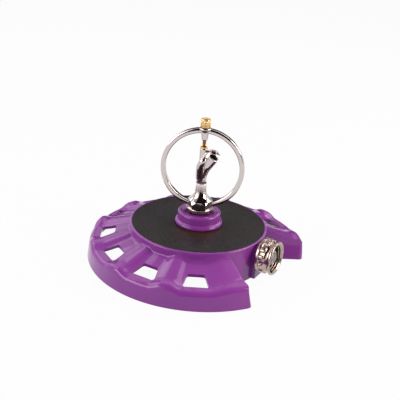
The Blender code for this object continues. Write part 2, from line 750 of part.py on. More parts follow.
def torus(name, major, minor, level, sides=6):
    """Make a sealing ring round the local Z axis."""
    profile = [(major + dr, level + dz) for dr, dz in arc((0, 0), minor, 0, 360, sides)[:-1]]
    return turned(name, profile, SMALL_STEPS)


def make_tailpiece_o_ring():
    """The seal between the nipple's shoulder and the manifold's socket."""
    major = TAILPIECE_END_RADIUS + CLEARANCE + SEAL_CORD_RADIUS
    level = SOCKET_END + CLEARANCE + SEAL_CORD_RADIUS
    seal = move_mesh(torus("tailpiece_o_ring", major, SEAL_CORD_RADIUS, level), inlet_matrix())
    return dress(seal, BLACK_RUBBER)


def nut_rows():
    """Return the nut's outside as rows of (radius between lugs, radius on a lug, place)."""
    flange_end = NUT_BACK + NUT_FLANGE_LENGTH
    lug_end = flange_end + NUT_LUG_LENGTH
    rim_start = NUT_MOUTH - NUT_RIM_LENGTH
    soft = NUT_EDGE
    return [
        (NUT_FLANGE_RADIUS - soft, NUT_FLANGE_RADIUS - soft, NUT_BACK),
        (NUT_FLANGE_RADIUS, NUT_FLANGE_RADIUS, NUT_BACK + soft),
        (NUT_FLANGE_RADIUS, NUT_FLANGE_RADIUS, flange_end - soft),
        (NUT_BAND_RADIUS, NUT_LUG_RADIUS, flange_end),
        (NUT_BAND_RADIUS, NUT_LUG_RADIUS, lug_end - soft),
        (NUT_BAND_RADIUS, NUT_BAND_RADIUS, lug_end),
        (NUT_WAIST_RADIUS, NUT_WAIST_RADIUS, (lug_end + rim_start) / 2),
        (NUT_RIM_RADIUS, NUT_RIM_RADIUS, rim_start),
        (NUT_RIM_RADIUS, NUT_RIM_RADIUS, NUT_MOUTH - soft / 2),
        (NUT_RIM_RADIUS - soft / 2, NUT_RIM_RADIUS - soft / 2, NUT_MOUTH),
    ]


def make_swivel_nut():
    """The hose coupling's nut: a flange, a band of grip lugs, a waist and the mouth's rim."""
    hole = TAILPIECE_RADIUS + CLEARANCE
    cavity = NUT_BACK + NUT_BACK_WALL
    chamfer = NUT_MOUTH_CHAMFER
    inside = [
        (NUT_BORE_RADIUS + chamfer, NUT_MOUTH),
        (NUT_BORE_RADIUS, NUT_MOUTH - chamfer),
        (NUT_BORE_RADIUS, cavity),
        (hole, cavity),
        (hole, NUT_BACK),
    ]
    rows = nut_rows() + [(radius, radius, place) for radius, place in inside]
    per_lug = 4
    steps = per_lug * NUT_LUG_COUNT
    points = []
    rings = []
    for valley, lug, place in rows:
        rings.append(list(range(len(points), len(points) + steps)))
        for i in range(steps):
            angle = 2 * math.pi * (i + 0.5) / steps
            radius = lug if i % per_lug < per_lug / 2 else valley
            points.append((radius * math.cos(angle), radius * math.sin(angle), place))
    faces = []
    for lower, upper in zip(rings, rings[1:] + rings[:1]):
        faces.extend(ring_faces(lower, upper))
    nut = move_mesh(mesh_object("swivel_nut", points, faces), inlet_matrix())
    return dress(nut, NICKEL)


def make_filter_screen():
    """The domed screen whose brim lies between the nipple's flange and the washer."""
    brim = SCREEN_BACK + SCREEN_THICKNESS
    brim_radius = NUT_BORE_RADIUS - 2 * CLEARANCE
    inside_radius = SCREEN_RADIUS - SCREEN_THICKNESS
    crown = SCREEN_HEIGHT - SCREEN_THICKNESS
    steps = 5
    outside = []
    inside = []
    for i in range(steps):
        angle = math.radians(90 * i / steps)
        rise = math.sin(angle)
        outside.append((SCREEN_RADIUS * math.cos(angle), brim + crown * rise))
        inside.append((inside_radius * math.cos(angle), brim + (crown - SCREEN_THICKNESS) * rise))
    profile = [(0, brim + crown), *outside[::-1], (brim_radius, brim), (brim_radius, SCREEN_BACK)]
    profile += [(inside_radius, SCREEN_BACK), *inside, (0, brim + crown - SCREEN_THICKNESS)]
    screen = turned("filter_screen", profile, SMALL_STEPS)
    return dress(move_mesh(screen, inlet_matrix()), STAINLESS)


def make_hose_washer():
    """The rubber washer in the nut, in front of the screen's brim."""
    low = SCREEN_BACK + SCREEN_THICKNESS + CLEARANCE
    high = low + WASHER_THICKNESS
    inner = SCREEN_RADIUS + CLEARANCE
    outer = NUT_BORE_RADIUS - CLEARANCE
    washer = turned("hose_washer", [(inner, low), (outer, low), (outer, high), (inner, high)])
    return dress(move_mesh(washer, inlet_matrix()), BLACK_RUBBER)


def make_head_gasket():
    """The ring between the hub's foot and the collar's seat."""
    low = COLLAR_SEAT + CLEARANCE
    high = low + HEAD_GASKET_THICKNESS
    inner = HUB_THREAD_RADIUS + CLEARANCE
    profile = [(inner, low), (HEAD_GASKET_RADIUS, low), (HEAD_GASKET_RADIUS, high), (inner, high)]
    return dress(turned("head_gasket", profile), BLACK_RUBBER)


def bell_radius(share):
    """Return the bell's radius from its foot, at share 0, up to the neck, at share 1."""
    drop = HUB_WAIST_RADIUS - NECK_RADIUS
    return NECK_RADIUS + drop * (1 - share) ** HUB_BELL_POWER


def make_hub():
    """The hub: thread, round foot flange, hexagon with arched flats, bell and neck."""
    edge = HUB_FLANGE_EDGE
    thread_end = HUB_FOOT - HUB_THREAD_LENGTH
    profile = [
        (0, thread_end),
        (HUB_THREAD_RADIUS, thread_end),
        (HUB_THREAD_RADIUS, HUB_FOOT),
        (HUB_FLANGE_RADIUS - edge, HUB_FOOT),
        (HUB_FLANGE_RADIUS, HUB_FOOT + edge),
        (HUB_FLANGE_RADIUS, HUB_HEX_FOOT - edge),
        (HUB_FLANGE_RADIUS - edge, HUB_HEX_FOOT),
        (0, HUB_HEX_FOOT),
    ]
    hub = turned("spinner_frame", profile, FINE_STEPS)
    foot = HUB_HEX_FOOT - HUB_FLANGE_HEIGHT / 2
    hex_top = HUB_HEX_FOOT + HUB_HEX_HEIGHT
    steps = 5
    bell_profile = [(0, foot), (HUB_BELL_RADIUS, foot)]
    bell_profile += [(HUB_BELL_RADIUS, HUB_HEX_FOOT + HUB_HEX_HEIGHT * HUB_BELL_START)]
    for i in range(steps + 1):
        share = i / steps
        bell_profile.append((bell_radius(share), hex_top + HUB_BELL_HEIGHT * share))
    bell_profile.append((0, NECK_TOP))
    bell = turned("bell", bell_profile, FINE_STEPS)
    corner = HUB_FLAT_RADIUS / math.cos(math.radians(30))
    corners = arc((0, 0), corner, 0, 360, 6)[:-1]
    hexagon = prism("hexagon", corners, foot - CUTTER_MARGIN, NECK_TOP + CUTTER_MARGIN)
    combine(bell, hexagon, "INTERSECT")
    return combine(hub, bell, "UNION")


def make_ring():
    """The ring: a band with rounded sides, upright about the spinner."""
    steps = RING_STEPS
    half_width = RING_BAND_WIDTH / 2
    half_depth = RING_BAND_DEPTH / 2
    soft = RING_BAND_EDGE
    middle = RING_OUTER_RADIUS - half_width
    section = []
    for sign_r, sign_d, start in ((1, 1, 0), (-1, 1, 90), (-1, -1, 180), (1, -1, 270)):
        centre = (sign_r * (half_width - soft), sign_d * (half_depth - soft))
        section += arc(centre, soft, start, start + 90, 1)
    points = []
    rings = []
    for dr, depth in section:
        rings.append(list(range(len(points), len(points) + steps)))
        for i in range(steps):
            angle = 2 * math.pi * i / steps
            radius = middle + dr
            level = RING_CENTRE_HEIGHT + radius * math.sin(angle)
            points.append((radius * math.cos(angle), depth, level))
    faces = []
    for lower, upper in zip(rings, rings[1:] + rings[:1]):
        faces.extend(ring_faces(lower, upper))
    return mesh_object("ring", points, faces)


def make_spinner_frame():
    """Hub, ring and top boss as one casting, bored for the water and for the pivot screw."""
    frame = make_hub()
    combine(frame, make_ring(), "UNION")
    soft = BOSS_EDGE
    boss_profile = [
        (0, BOSS_FOOT),
        (BOSS_BOTTOM_RADIUS - soft, BOSS_FOOT),
        (BOSS_BOTTOM_RADIUS, BOSS_FOOT + soft),
        (BOSS_NECK_RADIUS, BOSS_TOP - BOSS_HEAD_HEIGHT),
        (BOSS_TOP_RADIUS, BOSS_TOP - 2 * soft),
        (BOSS_TOP_RADIUS, BOSS_TOP - soft),
        (BOSS_TOP_RADIUS - soft, BOSS_TOP),
        (0, BOSS_TOP),
    ]
    combine(frame, turned("boss", boss_profile), "UNION")

    thread_end = HUB_FOOT - HUB_THREAD_LENGTH - CLEARANCE
    nozzle_floor = NECK_TOP - NOZZLE_BODY_LENGTH - CLEARANCE
    seat = NOZZLE_BODY_RADIUS + CLEARANCE
    above = NECK_TOP + CUTTER_MARGIN
    bore_profile = [
        (0, thread_end),
        (WATER_RADIUS, thread_end),
        (WATER_RADIUS, nozzle_floor - WATER_RADIUS),
        (NOZZLE_JET_RADIUS + CLEARANCE, nozzle_floor),
        (seat, nozzle_floor),
        (seat, above),
        (0, above),
    ]
    combine(frame, turned("water_bore", bore_profile, SMALL_STEPS), "DIFFERENCE")
    thread = PIVOT_THREAD_RADIUS + CLEARANCE / 2
    low = BOSS_FOOT - CUTTER_MARGIN
    high = BOSS_TOP + CUTTER_MARGIN
    recess = PIVOT_RING_RADIUS + PIVOT_RING_CORD + CLEARANCE
    recess_floor = PIVOT_RING_LEVEL - PIVOT_RING_CORD - CLEARANCE
    pivot_profile = [(0, low), (thread, low), (thread, recess_floor), (recess, recess_floor)]
    pivot_profile += [(recess, high), (0, high)]
    pivot_bore = turned("pivot_bore", pivot_profile, SMALL_STEPS)
    combine(frame, pivot_bore, "DIFFERENCE")
    move_mesh(frame, flat_turn(FRAME_AZIMUTH))
    return dress(frame, CHROME)


def make_jet_nozzle():
    """The brass jet in the neck, which aims the water up into the spinner."""
    foot = NECK_TOP - NOZZLE_BODY_LENGTH
    flange_foot = NECK_TOP + CLEARANCE
    flange_top = flange_foot + NOZZLE_FLANGE_HEIGHT
    profile = [
        (NOZZLE_JET_RADIUS, foot),
        (NOZZLE_BODY_RADIUS, foot),
        (NOZZLE_BODY_RADIUS, flange_foot),
        (NOZZLE_FLANGE_RADIUS, flange_foot),
        (NOZZLE_FLANGE_RADIUS, flange_top),
        (NOZZLE_JET_RADIUS, flange_top),
    ]
    return dress(turned("jet_nozzle", profile, SMALL_STEPS), BRASS)


def make_bearing_sleeve():
    """The sleeve on the neck, which clamps the nozzle and guides the spinner's spigot."""
    guide = SPINNER_SPIGOT_RADIUS + CLEARANCE
    pocket = NOZZLE_FLANGE_RADIUS + CLEARANCE
    pocket_top = SLEEVE_FOOT + NOZZLE_FLANGE_HEIGHT + CLEARANCE
    edge = SLEEVE_EDGE
    profile = [
        (pocket, SLEEVE_FOOT),
        (SLEEVE_RADIUS, SLEEVE_FOOT),
        (SLEEVE_RADIUS, SLEEVE_TOP - edge),
        (SLEEVE_RADIUS - edge, SLEEVE_TOP),
        (guide, SLEEVE_TOP),
        (guide, pocket_top),
        (pocket, pocket_top),
    ]
    return dress(turned("bearing_sleeve", profile), CHROME)


def make_thrust_washer():
    """The plastic washer that the spinner turns on."""
    low = SLEEVE_TOP + CLEARANCE
    high = low + THRUST_THICKNESS
    inner = SPINNER_SPIGOT_RADIUS + CLEARANCE
    outer = SLEEVE_RADIUS - CLEARANCE
    profile = [(inner, low), (outer, low), (outer, high), (inner, high)]
    return dress(turned("thrust_washer", profile), GREY_PLASTIC)


def swept(name, stations, section):
    """Sweep a section along the spinner's plane: each station is (place, direction, scale).

    The section's points are (across, sideways), and across is the side that the tube leans to.
    """
    points = []
    rings = []
    for place, direction, scale in stations:
        lean = Vector((direction.y, -direction.x))
        rings.append(list(range(len(points), len(points) + len(section))))
        for across, sideways in section:
            side = lean * scale * across
            points.append((place.x + side.x, scale * sideways, place.y + side.y))
    faces = [tuple(rings[0]), tuple(rings[-1])]
    for lower, upper in zip(rings, rings[1:]):
        faces.extend(ring_faces(lower, upper))
    return mesh_object(name, points, faces)


def tilted(angle):
    """Return the direction in the spinner's plane at an angle above level, in degrees."""
    return Vector((math.cos(math.radians(angle)), math.sin(math.radians(angle))))


def tube_stations(stem_radius, elbow_radius, mouth_radius, foot, past):
    """Return the stations of a bent tube: up the stem, round the elbow, out beyond the mouth."""
    up = tilted(90)
    ahead = tilted(SPINNER_JET_TILT)
    halfway = (up + ahead).normalized()
    step = SPINNER_FOOT + SPINNER_STEM_HEIGHT
    elbow = Vector((-SPINNER_SET_BACK, SPINNER_FOOT + SPINNER_ELBOW_HEIGHT))
    reach = elbow_radius * SPINNER_BEND_SHARE
    mouth = elbow + ahead * SPINNER_JET_LENGTH
    return [
        (Vector((0, foot)), up, stem_radius),
        (Vector((0, step)), up, stem_radius),
        (Vector((elbow.x, step + CLEARANCE)), up, elbow_radius),
        (elbow - up * reach, up, elbow_radius),
        (elbow, halfway, elbow_radius),
        (elbow + ahead * reach, ahead, elbow_radius),
        (mouth, ahead, mouth_radius),
        (mouth + ahead * past, ahead, mouth_radius),
    ]


def hood_stations(first, last, steps):
    """Return the stations of the hood between two shares of its curve."""
    start = Vector(HOOD_START)
    height = SPINNER_TOP - SPINNER_FOOT
    bend = Vector((HOOD_BEND_REACH, height - HOOD_BEND_DROP))
    end = Vector((HOOD_END_REACH, height - HOOD_END_DROP))
    stations = []
    for i in range(steps + 1):
        share = first + (last - first) * i / steps
        place = start * (1 - share) ** 2 + bend * 2 * share * (1 - share) + end * share ** 2
        tilt = HOOD_START_TILT + (HOOD_END_TILT - HOOD_START_TILT) * share
        radius = HOOD_START_RADIUS + (HOOD_RADIUS - HOOD_START_RADIUS) * min(share / HOOD_SWELL_SHARE, 1)
        stations.append((place + Vector((0, SPINNER_FOOT)), tilted(tilt), radius))
    return stations


def hood_section(share, near_angle):
    """Return the hood's outline at a share of its radius, from its far side over its crown."""
    outline = arc((0, 0), share, 180 - HOOD_FAR_ANGLE, 180 + near_angle, 10)
    return [(across, sideways * HOOD_SIDE_SHARE) for across, sideways in outline]


def make_spinner_tube():
    """The spinner: spigot, stem, bent jet tube, the hood over its mouth and the pivot boss."""
    radii = (SPINNER_STEM_RADIUS, SPINNER_ELBOW_RADIUS, SPINNER_MOUTH_RADIUS)
    round_section = arc((0, 0), 1.0, 0, 360, SMALL_STEPS)[:-1]
    stations = tube_stations(*radii, SPINNER_FOOT, CLEARANCE)
    spinner = swept("spinner_tube", stations, round_section)

    boss_foot = SPINNER_TOP - SPINNER_BOSS_LENGTH
    soft = SPINNER_BOSS_EDGE
    boss_profile = [
        (0, boss_foot),
        (SPINNER_BOSS_RADIUS, boss_foot),
        (SPINNER_BOSS_RADIUS, SPINNER_TOP - soft),
        (SPINNER_BOSS_RADIUS - soft, SPINNER_TOP),
        (0, SPINNER_TOP),
    ]
    combine(spinner, turned("boss", boss_profile, SMALL_STEPS), "UNION")
    back_section = hood_section(1.0, HOOD_FAR_ANGLE)
    back_stations = hood_stations(0, HOOD_MOUTH_SHARE, 6)
    combine(spinner, swept("hood_back", back_stations, back_section), "UNION")

    spigot_foot = SPINNER_FOOT - SPINNER_SPIGOT_LENGTH
    spigot_top = SPINNER_FOOT + SPINNER_STEM_HEIGHT / 2
    spigot = [(0, spigot_foot), (SPINNER_SPIGOT_RADIUS, spigot_foot)]
    spigot += [(SPINNER_SPIGOT_RADIUS, spigot_top), (0, spigot_top)]
    combine(spinner, turned("spigot", spigot, SMALL_STEPS), "UNION")

    radii = (SPINNER_BORE_RADIUS, SPINNER_BORE_RADIUS, SPINNER_MOUTH_BORE)
    stations = tube_stations(*radii, spigot_foot - CUTTER_MARGIN, SPINNER_MOUTH_RADIUS)
    round_section = arc((0, 0), 1.0, 0, 360, BORE_STEPS)[:-1]
    combine(spinner, swept("jet_bore", stations, round_section), "DIFFERENCE")

    inner_share = (HOOD_RADIUS - HOOD_WALL) / HOOD_RADIUS
    lip_section = hood_section(1.0, HOOD_NEAR_ANGLE)
    lip_section += hood_section(inner_share, HOOD_NEAR_ANGLE)[::-1]
    lip_stations = hood_stations(HOOD_LIP_SHARE, 1.0, 4)
    combine(spinner, swept("hood_lip", lip_stations, lip_section), "UNION")

    socket = BUSH_RADIUS + CLEARANCE / 2
    socket_floor = SPINNER_TOP - BUSH_LENGTH - CLEARANCE
    above = SPINNER_TOP + CUTTER_MARGIN
    pocket_profile = [(0, socket_floor), (socket, socket_floor), (socket, above), (0, above)]
    combine(spinner, turned("pocket", pocket_profile, SMALL_STEPS), "DIFFERENCE")
    move_mesh(spinner, flat_turn(SPINNER_AZIMUTH))
    return dress(spinner, CHROME)


def make_pivot_bush():
    """The brass bush in the spinner's top, which runs on the pivot screw's pin."""
    foot = SPINNER_TOP - BUSH_LENGTH
    flange_foot = SPINNER_TOP + CLEARANCE
    flange_top = flange_foot + BUSH_FLANGE_HEIGHT
    bore = PIN_RADIUS + CLEARANCE
    floor = SPINNER_TOP - PIN_ENGAGEMENT - CLEARANCE
    profile = [
        (0, foot),
        (BUSH_RADIUS, foot),
        (BUSH_RADIUS, flange_foot),
        (BUSH_FLANGE_RADIUS, flange_foot),
        (BUSH_FLANGE_RADIUS, flange_top),
        (bore, flange_top),
        (bore, floor),
        (0, floor),
    ]
    return dress(turned("pivot_bush", profile, SMALL_STEPS), BRASS)


def make_pivot_screw():
    """The brass pivot screw: head, thread through the ring's boss, and pin."""
    tip = SPINNER_TOP - PIN_ENGAGEMENT
    head_top = PIVOT_HEAD_FOOT + PIVOT_HEAD_HEIGHT
    chamfer = PIVOT_HEAD_CHAMFER
    point = PIN_POINT
    profile = [
        (0, tip),
        (PIN_RADIUS - point, tip),
        (PIN_RADIUS, tip + point),
        (PIN_RADIUS, BOSS_FOOT),
        (PIVOT_THREAD_RADIUS, BOSS_FOOT),
        (PIVOT_THREAD_RADIUS, PIVOT_HEAD_FOOT),
        (PIVOT_HEAD_RADIUS - chamfer, PIVOT_HEAD_FOOT),
        (PIVOT_HEAD_RADIUS, PIVOT_HEAD_FOOT + chamfer),
        (PIVOT_HEAD_RADIUS, head_top - chamfer),
        (PIVOT_HEAD_RADIUS - chamfer, head_top),
        (0, head_top),
    ]
    return dress(turned("pivot_screw", profile), BRASS)


def make_pivot_o_ring():
    """The friction ring under the pivot screw's head."""
    ring = torus("pivot_o_ring", PIVOT_RING_RADIUS, PIVOT_RING_CORD, PIVOT_RING_LEVEL)
    return dress(ring, BLACK_RUBBER)


clear_scene()
make_base_casting()
make_cover_disc()
make_riser_collar()
make_inlet_manifold()
make_manifold_gasket()
make_manifold_screws()
make_inlet_tailpiece()
make_tailpiece_o_ring()
make_swivel_nut()
make_filter_screen()
make_hose_washer()
make_head_gasket()
make_spinner_frame()
make_jet_nozzle()
make_bearing_sleeve()
make_thrust_washer()
make_spinner_tube()
make_pivot_bush()
make_pivot_screw()
make_pivot_o_ring()
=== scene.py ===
"""A rotary lawn sprinkler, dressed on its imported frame: cast base, hose swivel and spinner.

Metres, +Z up, origin on the ground under the spinner's axis. The sections follow the object
as it is put together, from the base up to the pivot screw, then the floor and the light.
"""
import math

import bmesh
import bpy
from mathutils import Matrix, Vector


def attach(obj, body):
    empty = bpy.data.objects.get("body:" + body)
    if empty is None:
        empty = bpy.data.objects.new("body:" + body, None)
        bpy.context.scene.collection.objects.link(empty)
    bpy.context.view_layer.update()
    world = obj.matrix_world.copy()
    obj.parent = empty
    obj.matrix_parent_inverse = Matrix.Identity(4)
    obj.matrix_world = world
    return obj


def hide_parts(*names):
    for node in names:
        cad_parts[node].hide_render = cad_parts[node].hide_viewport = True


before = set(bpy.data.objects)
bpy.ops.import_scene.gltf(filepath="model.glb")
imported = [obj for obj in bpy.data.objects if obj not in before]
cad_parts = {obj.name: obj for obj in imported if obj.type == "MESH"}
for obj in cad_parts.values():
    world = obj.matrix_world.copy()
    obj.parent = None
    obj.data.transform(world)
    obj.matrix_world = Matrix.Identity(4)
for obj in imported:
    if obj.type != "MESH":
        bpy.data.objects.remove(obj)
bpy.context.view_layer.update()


# Camera
# The photographer stood in front of the base, about 0.6 m away and a little above it, with
# the camera rolled slightly. The hose coupling points to the camera's right.
photo_turn = Matrix.Rotation(math.radians(-16), 3, "Z")
camera_place = photo_turn @ Vector((0, -0.59151, 0.31017))
camera_dip = math.radians(24.49)
camera_pan = math.radians(-0.01)
camera_tilt = math.radians(1.22)
camera_roll = math.radians(4.26)


def linked(name, data):
    """Make an object of some data and put it in the scene."""
    made = bpy.data.objects.new(name, data)
    bpy.context.scene.collection.objects.link(made)
    return made


def swung(first, second, angle):
    """Swing one axis of the camera towards another, which goes with it."""
    return (first * math.cos(angle) + second * math.sin(angle),
            second * math.cos(angle) - first * math.sin(angle))


ahead = Vector((0, math.cos(camera_dip), -math.sin(camera_dip)))
right = Vector((1, 0, 0))
above = right.cross(ahead)
ahead, right = swung(ahead, right, camera_pan)
ahead, above = swung(ahead, above, camera_tilt)
right, above = swung(right, above, camera_roll)
axes = (photo_turn @ right, photo_turn @ above, photo_turn @ -ahead)
camera = linked("camera", bpy.data.cameras.new("camera"))
camera.matrix_world = Matrix.Translation(camera_place) @ Matrix(axes).transposed().to_4x4()
camera.data.lens = 63
camera.data.sensor_width = 36
bpy.context.scene.camera = camera


# Base casting
# A heavy die casting, stoved in a gloss purple powder coat: a raised plateau, a wavy skirt
# with nine openings in its valleys, a rolled rim, and a notch for the hose between two wings.
base_radius = 0.1020
rim_radius = 0.1006
rim_roll = 0.0048
ledge_radius = 0.0900
ledge_blend = 0.0030
plateau_radius = 0.0636
plateau_height = 0.0336
plateau_edge = 0.0012
recess_radius = 0.0619
recess_floor = 0.0321
plate_underside = 0.0297
skirt_fillet = 0.0014
casting_wall = 0.0026
spigot_hole = 0.0093
water_bore = 0.0046

# The notch and its wings. Angles round the base are degrees from the middle of the notch.
notch_azimuth = -45.0
notch_half_angle = 33.5
notch_draft = 0.0040
notch_draft_height = 0.0162
notch_corner = 0.0040
wing_angle = 45
wing_slope_foot = 54
wing_slope = 13

# The skirt's nine valleys and the ridges between them.
valley_count = 9
first_valley = 60
valley_pitch = 30.0
valley_flat = 6
valley_drop = 0.0078
valley_rim_height = 0.0162
ridge_slope = 7
ridge_inner_rise = 0.0027
ridge_outer_rise = 0.0035

# Their windows, and the narrow slot that one valley has instead, in (radius, sideways).
window_corner = 0.0020
window_shape = [(0.0770, -0.0075), (0.0770, 0.0075), (0.0905, 0.0118), (0.0905, -0.0118)]
slotted_valley = 4
slot_corner = 0.0010
slot_shape = [(0.0903, -0.0072), (0.0903, 0.0010), (0.0943, 0.0010), (0.0943, -0.0072)]


def tone(code):
    """Turn an sRGB hex value into a linear colour."""
    channels = [int(code[i:i + 2], 16) / 255 for i in (1, 3, 5)]
    linear = [c / 12.92 if c <= 0.04045 else ((c + 0.055) / 1.055) ** 2.4 for c in channels]
    return (*linear, 1.0)


def add_node(tree, kind, settings=(), sockets=()):
    """Add a node, set its properties, and fill its sockets with values or links."""
    node = tree.nodes.new(kind)
    for name, value in dict(settings).items():
        setattr(node, name, value)
    for name, value in dict(sockets).items():
        if isinstance(value, bpy.types.NodeSocket):
            tree.links.new(value, node.inputs[name])
        else:
            node.inputs[name].default_value = value
    return node


def new_finish(name):
    """Start a material. Returns its tree, its shader and the object's own coordinates."""
    material = bpy.data.materials.new(name)
    material.use_nodes = True
    tree = material.node_tree
    place = add_node(tree, "ShaderNodeTexCoord").outputs["Object"]
    return material, tree, tree.nodes["Principled BSDF"], place


def mottled(name, pattern, tones, gloss, relief=None, metallic=0.0):
    """Make a finish that wanders between two tones with a noise. Gloss is one roughness, or two
    that the noise moves between. Relief is a noise of its own, or None for the same one, then
    the bump's strength and depth."""
    material, tree, shader, place = new_finish(name)
    noise = add_node(tree, "ShaderNodeTexNoise", {}, {"Vector": place, **pattern}).outputs["Fac"]
    mixed = add_node(tree, "ShaderNodeMixRGB", {}, {
        "Fac": noise, "Color1": tone(tones[0]), "Color2": tone(tones[1])})
    tree.links.new(mixed.outputs["Color"], shader.inputs["Base Color"])
    if isinstance(gloss, tuple):
        varied = add_node(tree, "ShaderNodeMapRange", {}, {
            "Value": noise, "To Min": gloss[0], "To Max": gloss[1]})
        tree.links.new(varied.outputs["Result"], shader.inputs["Roughness"])
    else:
        shader.inputs["Roughness"].default_value = gloss
    if relief:
        grain, strength, depth = relief
        if grain:
            own = add_node(tree, "ShaderNodeTexNoise", {}, {"Vector": place, **grain})
            noise = own.outputs["Fac"]
        bump = add_node(tree, "ShaderNodeBump", {}, {
            "Height": noise, "Strength": strength, "Distance": depth})
        tree.links.new(bump.outputs["Normal"], shader.inputs["Normal"])
    shader.inputs["Metallic"].default_value = metallic
    return material, tree, shader, place


def closed_mesh(name, shape, nearest):
    """Merge the points that meet, point the faces outwards, and turn a bmesh into a mesh."""
    bmesh.ops.remove_doubles(shape, verts=shape.verts, dist=nearest)
    bmesh.ops.recalc_face_normals(shape, faces=shape.faces)
    mesh = bpy.data.meshes.new(name)
    shape.to_mesh(mesh)
    shape.free()
    return mesh


def mesh_piece(name, shape, material, body):
    """Make a smooth piece of one material from a bmesh, and hang it on a body."""
    mesh = closed_mesh(name, shape, 0.000005)
    mesh.shade_smooth()
    mesh.materials.append(material)
    piece = linked(name, mesh)
    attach(piece, body)
    return piece


def soften(piece, width, segments=3, limit=34):
    """Round the sharp edges of a piece and keep its flats flat."""
    bevel = piece.modifiers.new("rounded edges", "BEVEL")
    bevel.width = width
    bevel.segments = segments
    bevel.limit_method = "ANGLE"
    bevel.angle_limit = math.radians(limit)
    bevel.miter_outer = "MITER_ARC"
    flats = piece.modifiers.new("flat faces", "WEIGHTED_NORMAL")
    flats.keep_sharp = True


def sheet_patch(shape, rows):
    """Skin a grid of points with faces."""
    grid = [[shape.verts.new(point) for point in row] for row in rows]
    for upper, lower in zip(grid, grid[1:]):
        for a, b, c, d in zip(upper, upper[1:], lower[1:], lower):
            shape.faces.new((a, b, c, d))


def evenly(steps):
    """Shares from 0 to 1 in even steps."""
    return [i / steps for i in range(steps + 1)]


def rounding(centre, radius, start, end, steps):
    """Points along an arc about a centre, with angles in degrees."""
    angles = [math.radians(start + (end - start) * i / steps) for i in range(steps + 1)]
    return [(centre[0] + radius * math.cos(a), centre[1] + radius * math.sin(a)) for a in angles]


def spot(away, radius, height):
    """A point of the base, at degrees from the middle of the notch."""
    angle = math.radians(notch_azimuth + away)
    return (radius * math.cos(angle), radius * math.sin(angle), height)


def bowed(start, bend, end, share):
    """A point along a curve from start to end, which leaves and arrives facing the bend."""
    left = 1 - share
    return start * left ** 2 + bend * 2 * share * left + end * share * share


def ridge_rise(away):
    """0 on the floor of a valley and 1 on a ridge."""
    away = abs((away + 180) % 360 - 180)
    if away < first_valley:
        rise = (wing_slope_foot - away) / wing_slope
    else:
        off_middle = abs((away + valley_pitch / 2) % valley_pitch - valley_pitch / 2)
        rise = (off_middle - valley_flat) / ridge_slope
    rise = min(max(rise, 0.0), 1.0)
    return rise * rise * (3 - 2 * rise)


def skirt_levels(away):
    """The skirt's height where it leaves the plateau and where it reaches the rim."""
    rise = ridge_rise(away)
    wall_level = plateau_height - valley_drop + ridge_inner_rise * rise
    return wall_level, valley_rim_height + ridge_outer_rise * rise


def skirt_top(away, radius):
    """The skirt's height, a straight fall that runs softly into the level ledge."""
    wall_level, rim_level = skirt_levels(away)
    fall = (wall_level - rim_level) / (ledge_radius - plateau_radius)
    beyond = radius - ledge_radius
    if beyond < -ledge_blend:
        return rim_level - fall * beyond
    if beyond < ledge_blend:
        return rim_level + fall * (ledge_blend - beyond) ** 2 / (4 * ledge_blend)
    return rim_level


def notch_edge(radius, height, inset):
    """The angle of the notch's side: it leans in towards the ground and rolls into the rim."""
    past = min(max(radius - (base_radius - notch_corner), 0.0), notch_corner)
    roll = notch_corner - math.sqrt(notch_corner ** 2 - past ** 2)
    lean = notch_draft * max(0.0, 1 - height / notch_draft_height)
    return notch_half_angle + math.degrees((roll - lean + inset) / radius)


def opening_outline(corners, corner_radius, sides):
    """An outline in (radius, sideways), its corners rounded, its points shared out over sides."""
    arc_steps = 8
    arcs = []
    for i, corner in enumerate(corners):
        here = Vector(corner)
        back = (Vector(corners[i - 1]) - here).normalized()
        onward = (Vector(corners[(i + 1) % 4]) - here).normalized()
        half = back.angle(onward) / 2
        centre = here + (back + onward).normalized() * corner_radius / math.sin(half)
        first = here + back * corner_radius / math.tan(half) - centre
        last = here + onward * corner_radius / math.tan(half) - centre
        swing = first.angle_signed(last)
        arcs.append([centre + Matrix.Rotation(-swing * k / arc_steps, 2) @ first
                     for k in range(arc_steps + 1)])
    outline = []
    for i, count in enumerate(sides):
        path = arcs[i][arc_steps // 2:] + arcs[(i + 1) % 4][:arc_steps // 2 + 1]
        lengths = [0.0]
        for a, b in zip(path, path[1:]):
            lengths.append(lengths[-1] + (b - a).length)
        for k in range(count):
            wanted = lengths[-1] * k / count
            j = max(n for n in range(len(path) - 1) if lengths[n] <= wanted)
            share = (wanted - lengths[j]) / (lengths[j + 1] - lengths[j])
            outline.append(path[j].lerp(path[j + 1], share))
    return outline


# Straight down through its slope, the skirt's wall is a little deeper than it is thick.
below = casting_wall * 1.06
fillet_radius = plateau_radius + skirt_fillet
roll_radius = rim_radius - rim_roll
inside_wall = plateau_radius - casting_wall
inside_rim = rim_radius - casting_wall
inside_roll = rim_roll - casting_wall

# The mesh's steps across a valley, down its panel, over a wing, round the notch and down a wall.
valley_steps = 24
panel_steps = 12
wing_steps = 8
notch_steps = 40
levels = 8
panel_radii = [fillet_radius + (roll_radius - fillet_radius) * i / panel_steps
               for i in range(panel_steps + 1)]
around = [wing_angle + valley_pitch / valley_steps * i
          for i in range(valley_count * valley_steps + 1)]


def wing_away(side, share, radius, height, inset=0.0):
    """The angle of a wing's column: share 0 is at the next ridge and 1 is the notch's side."""
    return side * (wing_angle + (notch_edge(radius, height, inset) - wing_angle) * share)


def fillet_row(away):
    """The hollow corner between the plateau's wall and the skirt, as (radius, height)."""
    level = skirt_levels(away)[0]
    start = Vector((plateau_radius, level + skirt_fillet))
    end = Vector((fillet_radius, skirt_top(away, fillet_radius)))
    bend = Vector((plateau_radius, level))
    return [bowed(start, bend, end, share) for share in evenly(4)]


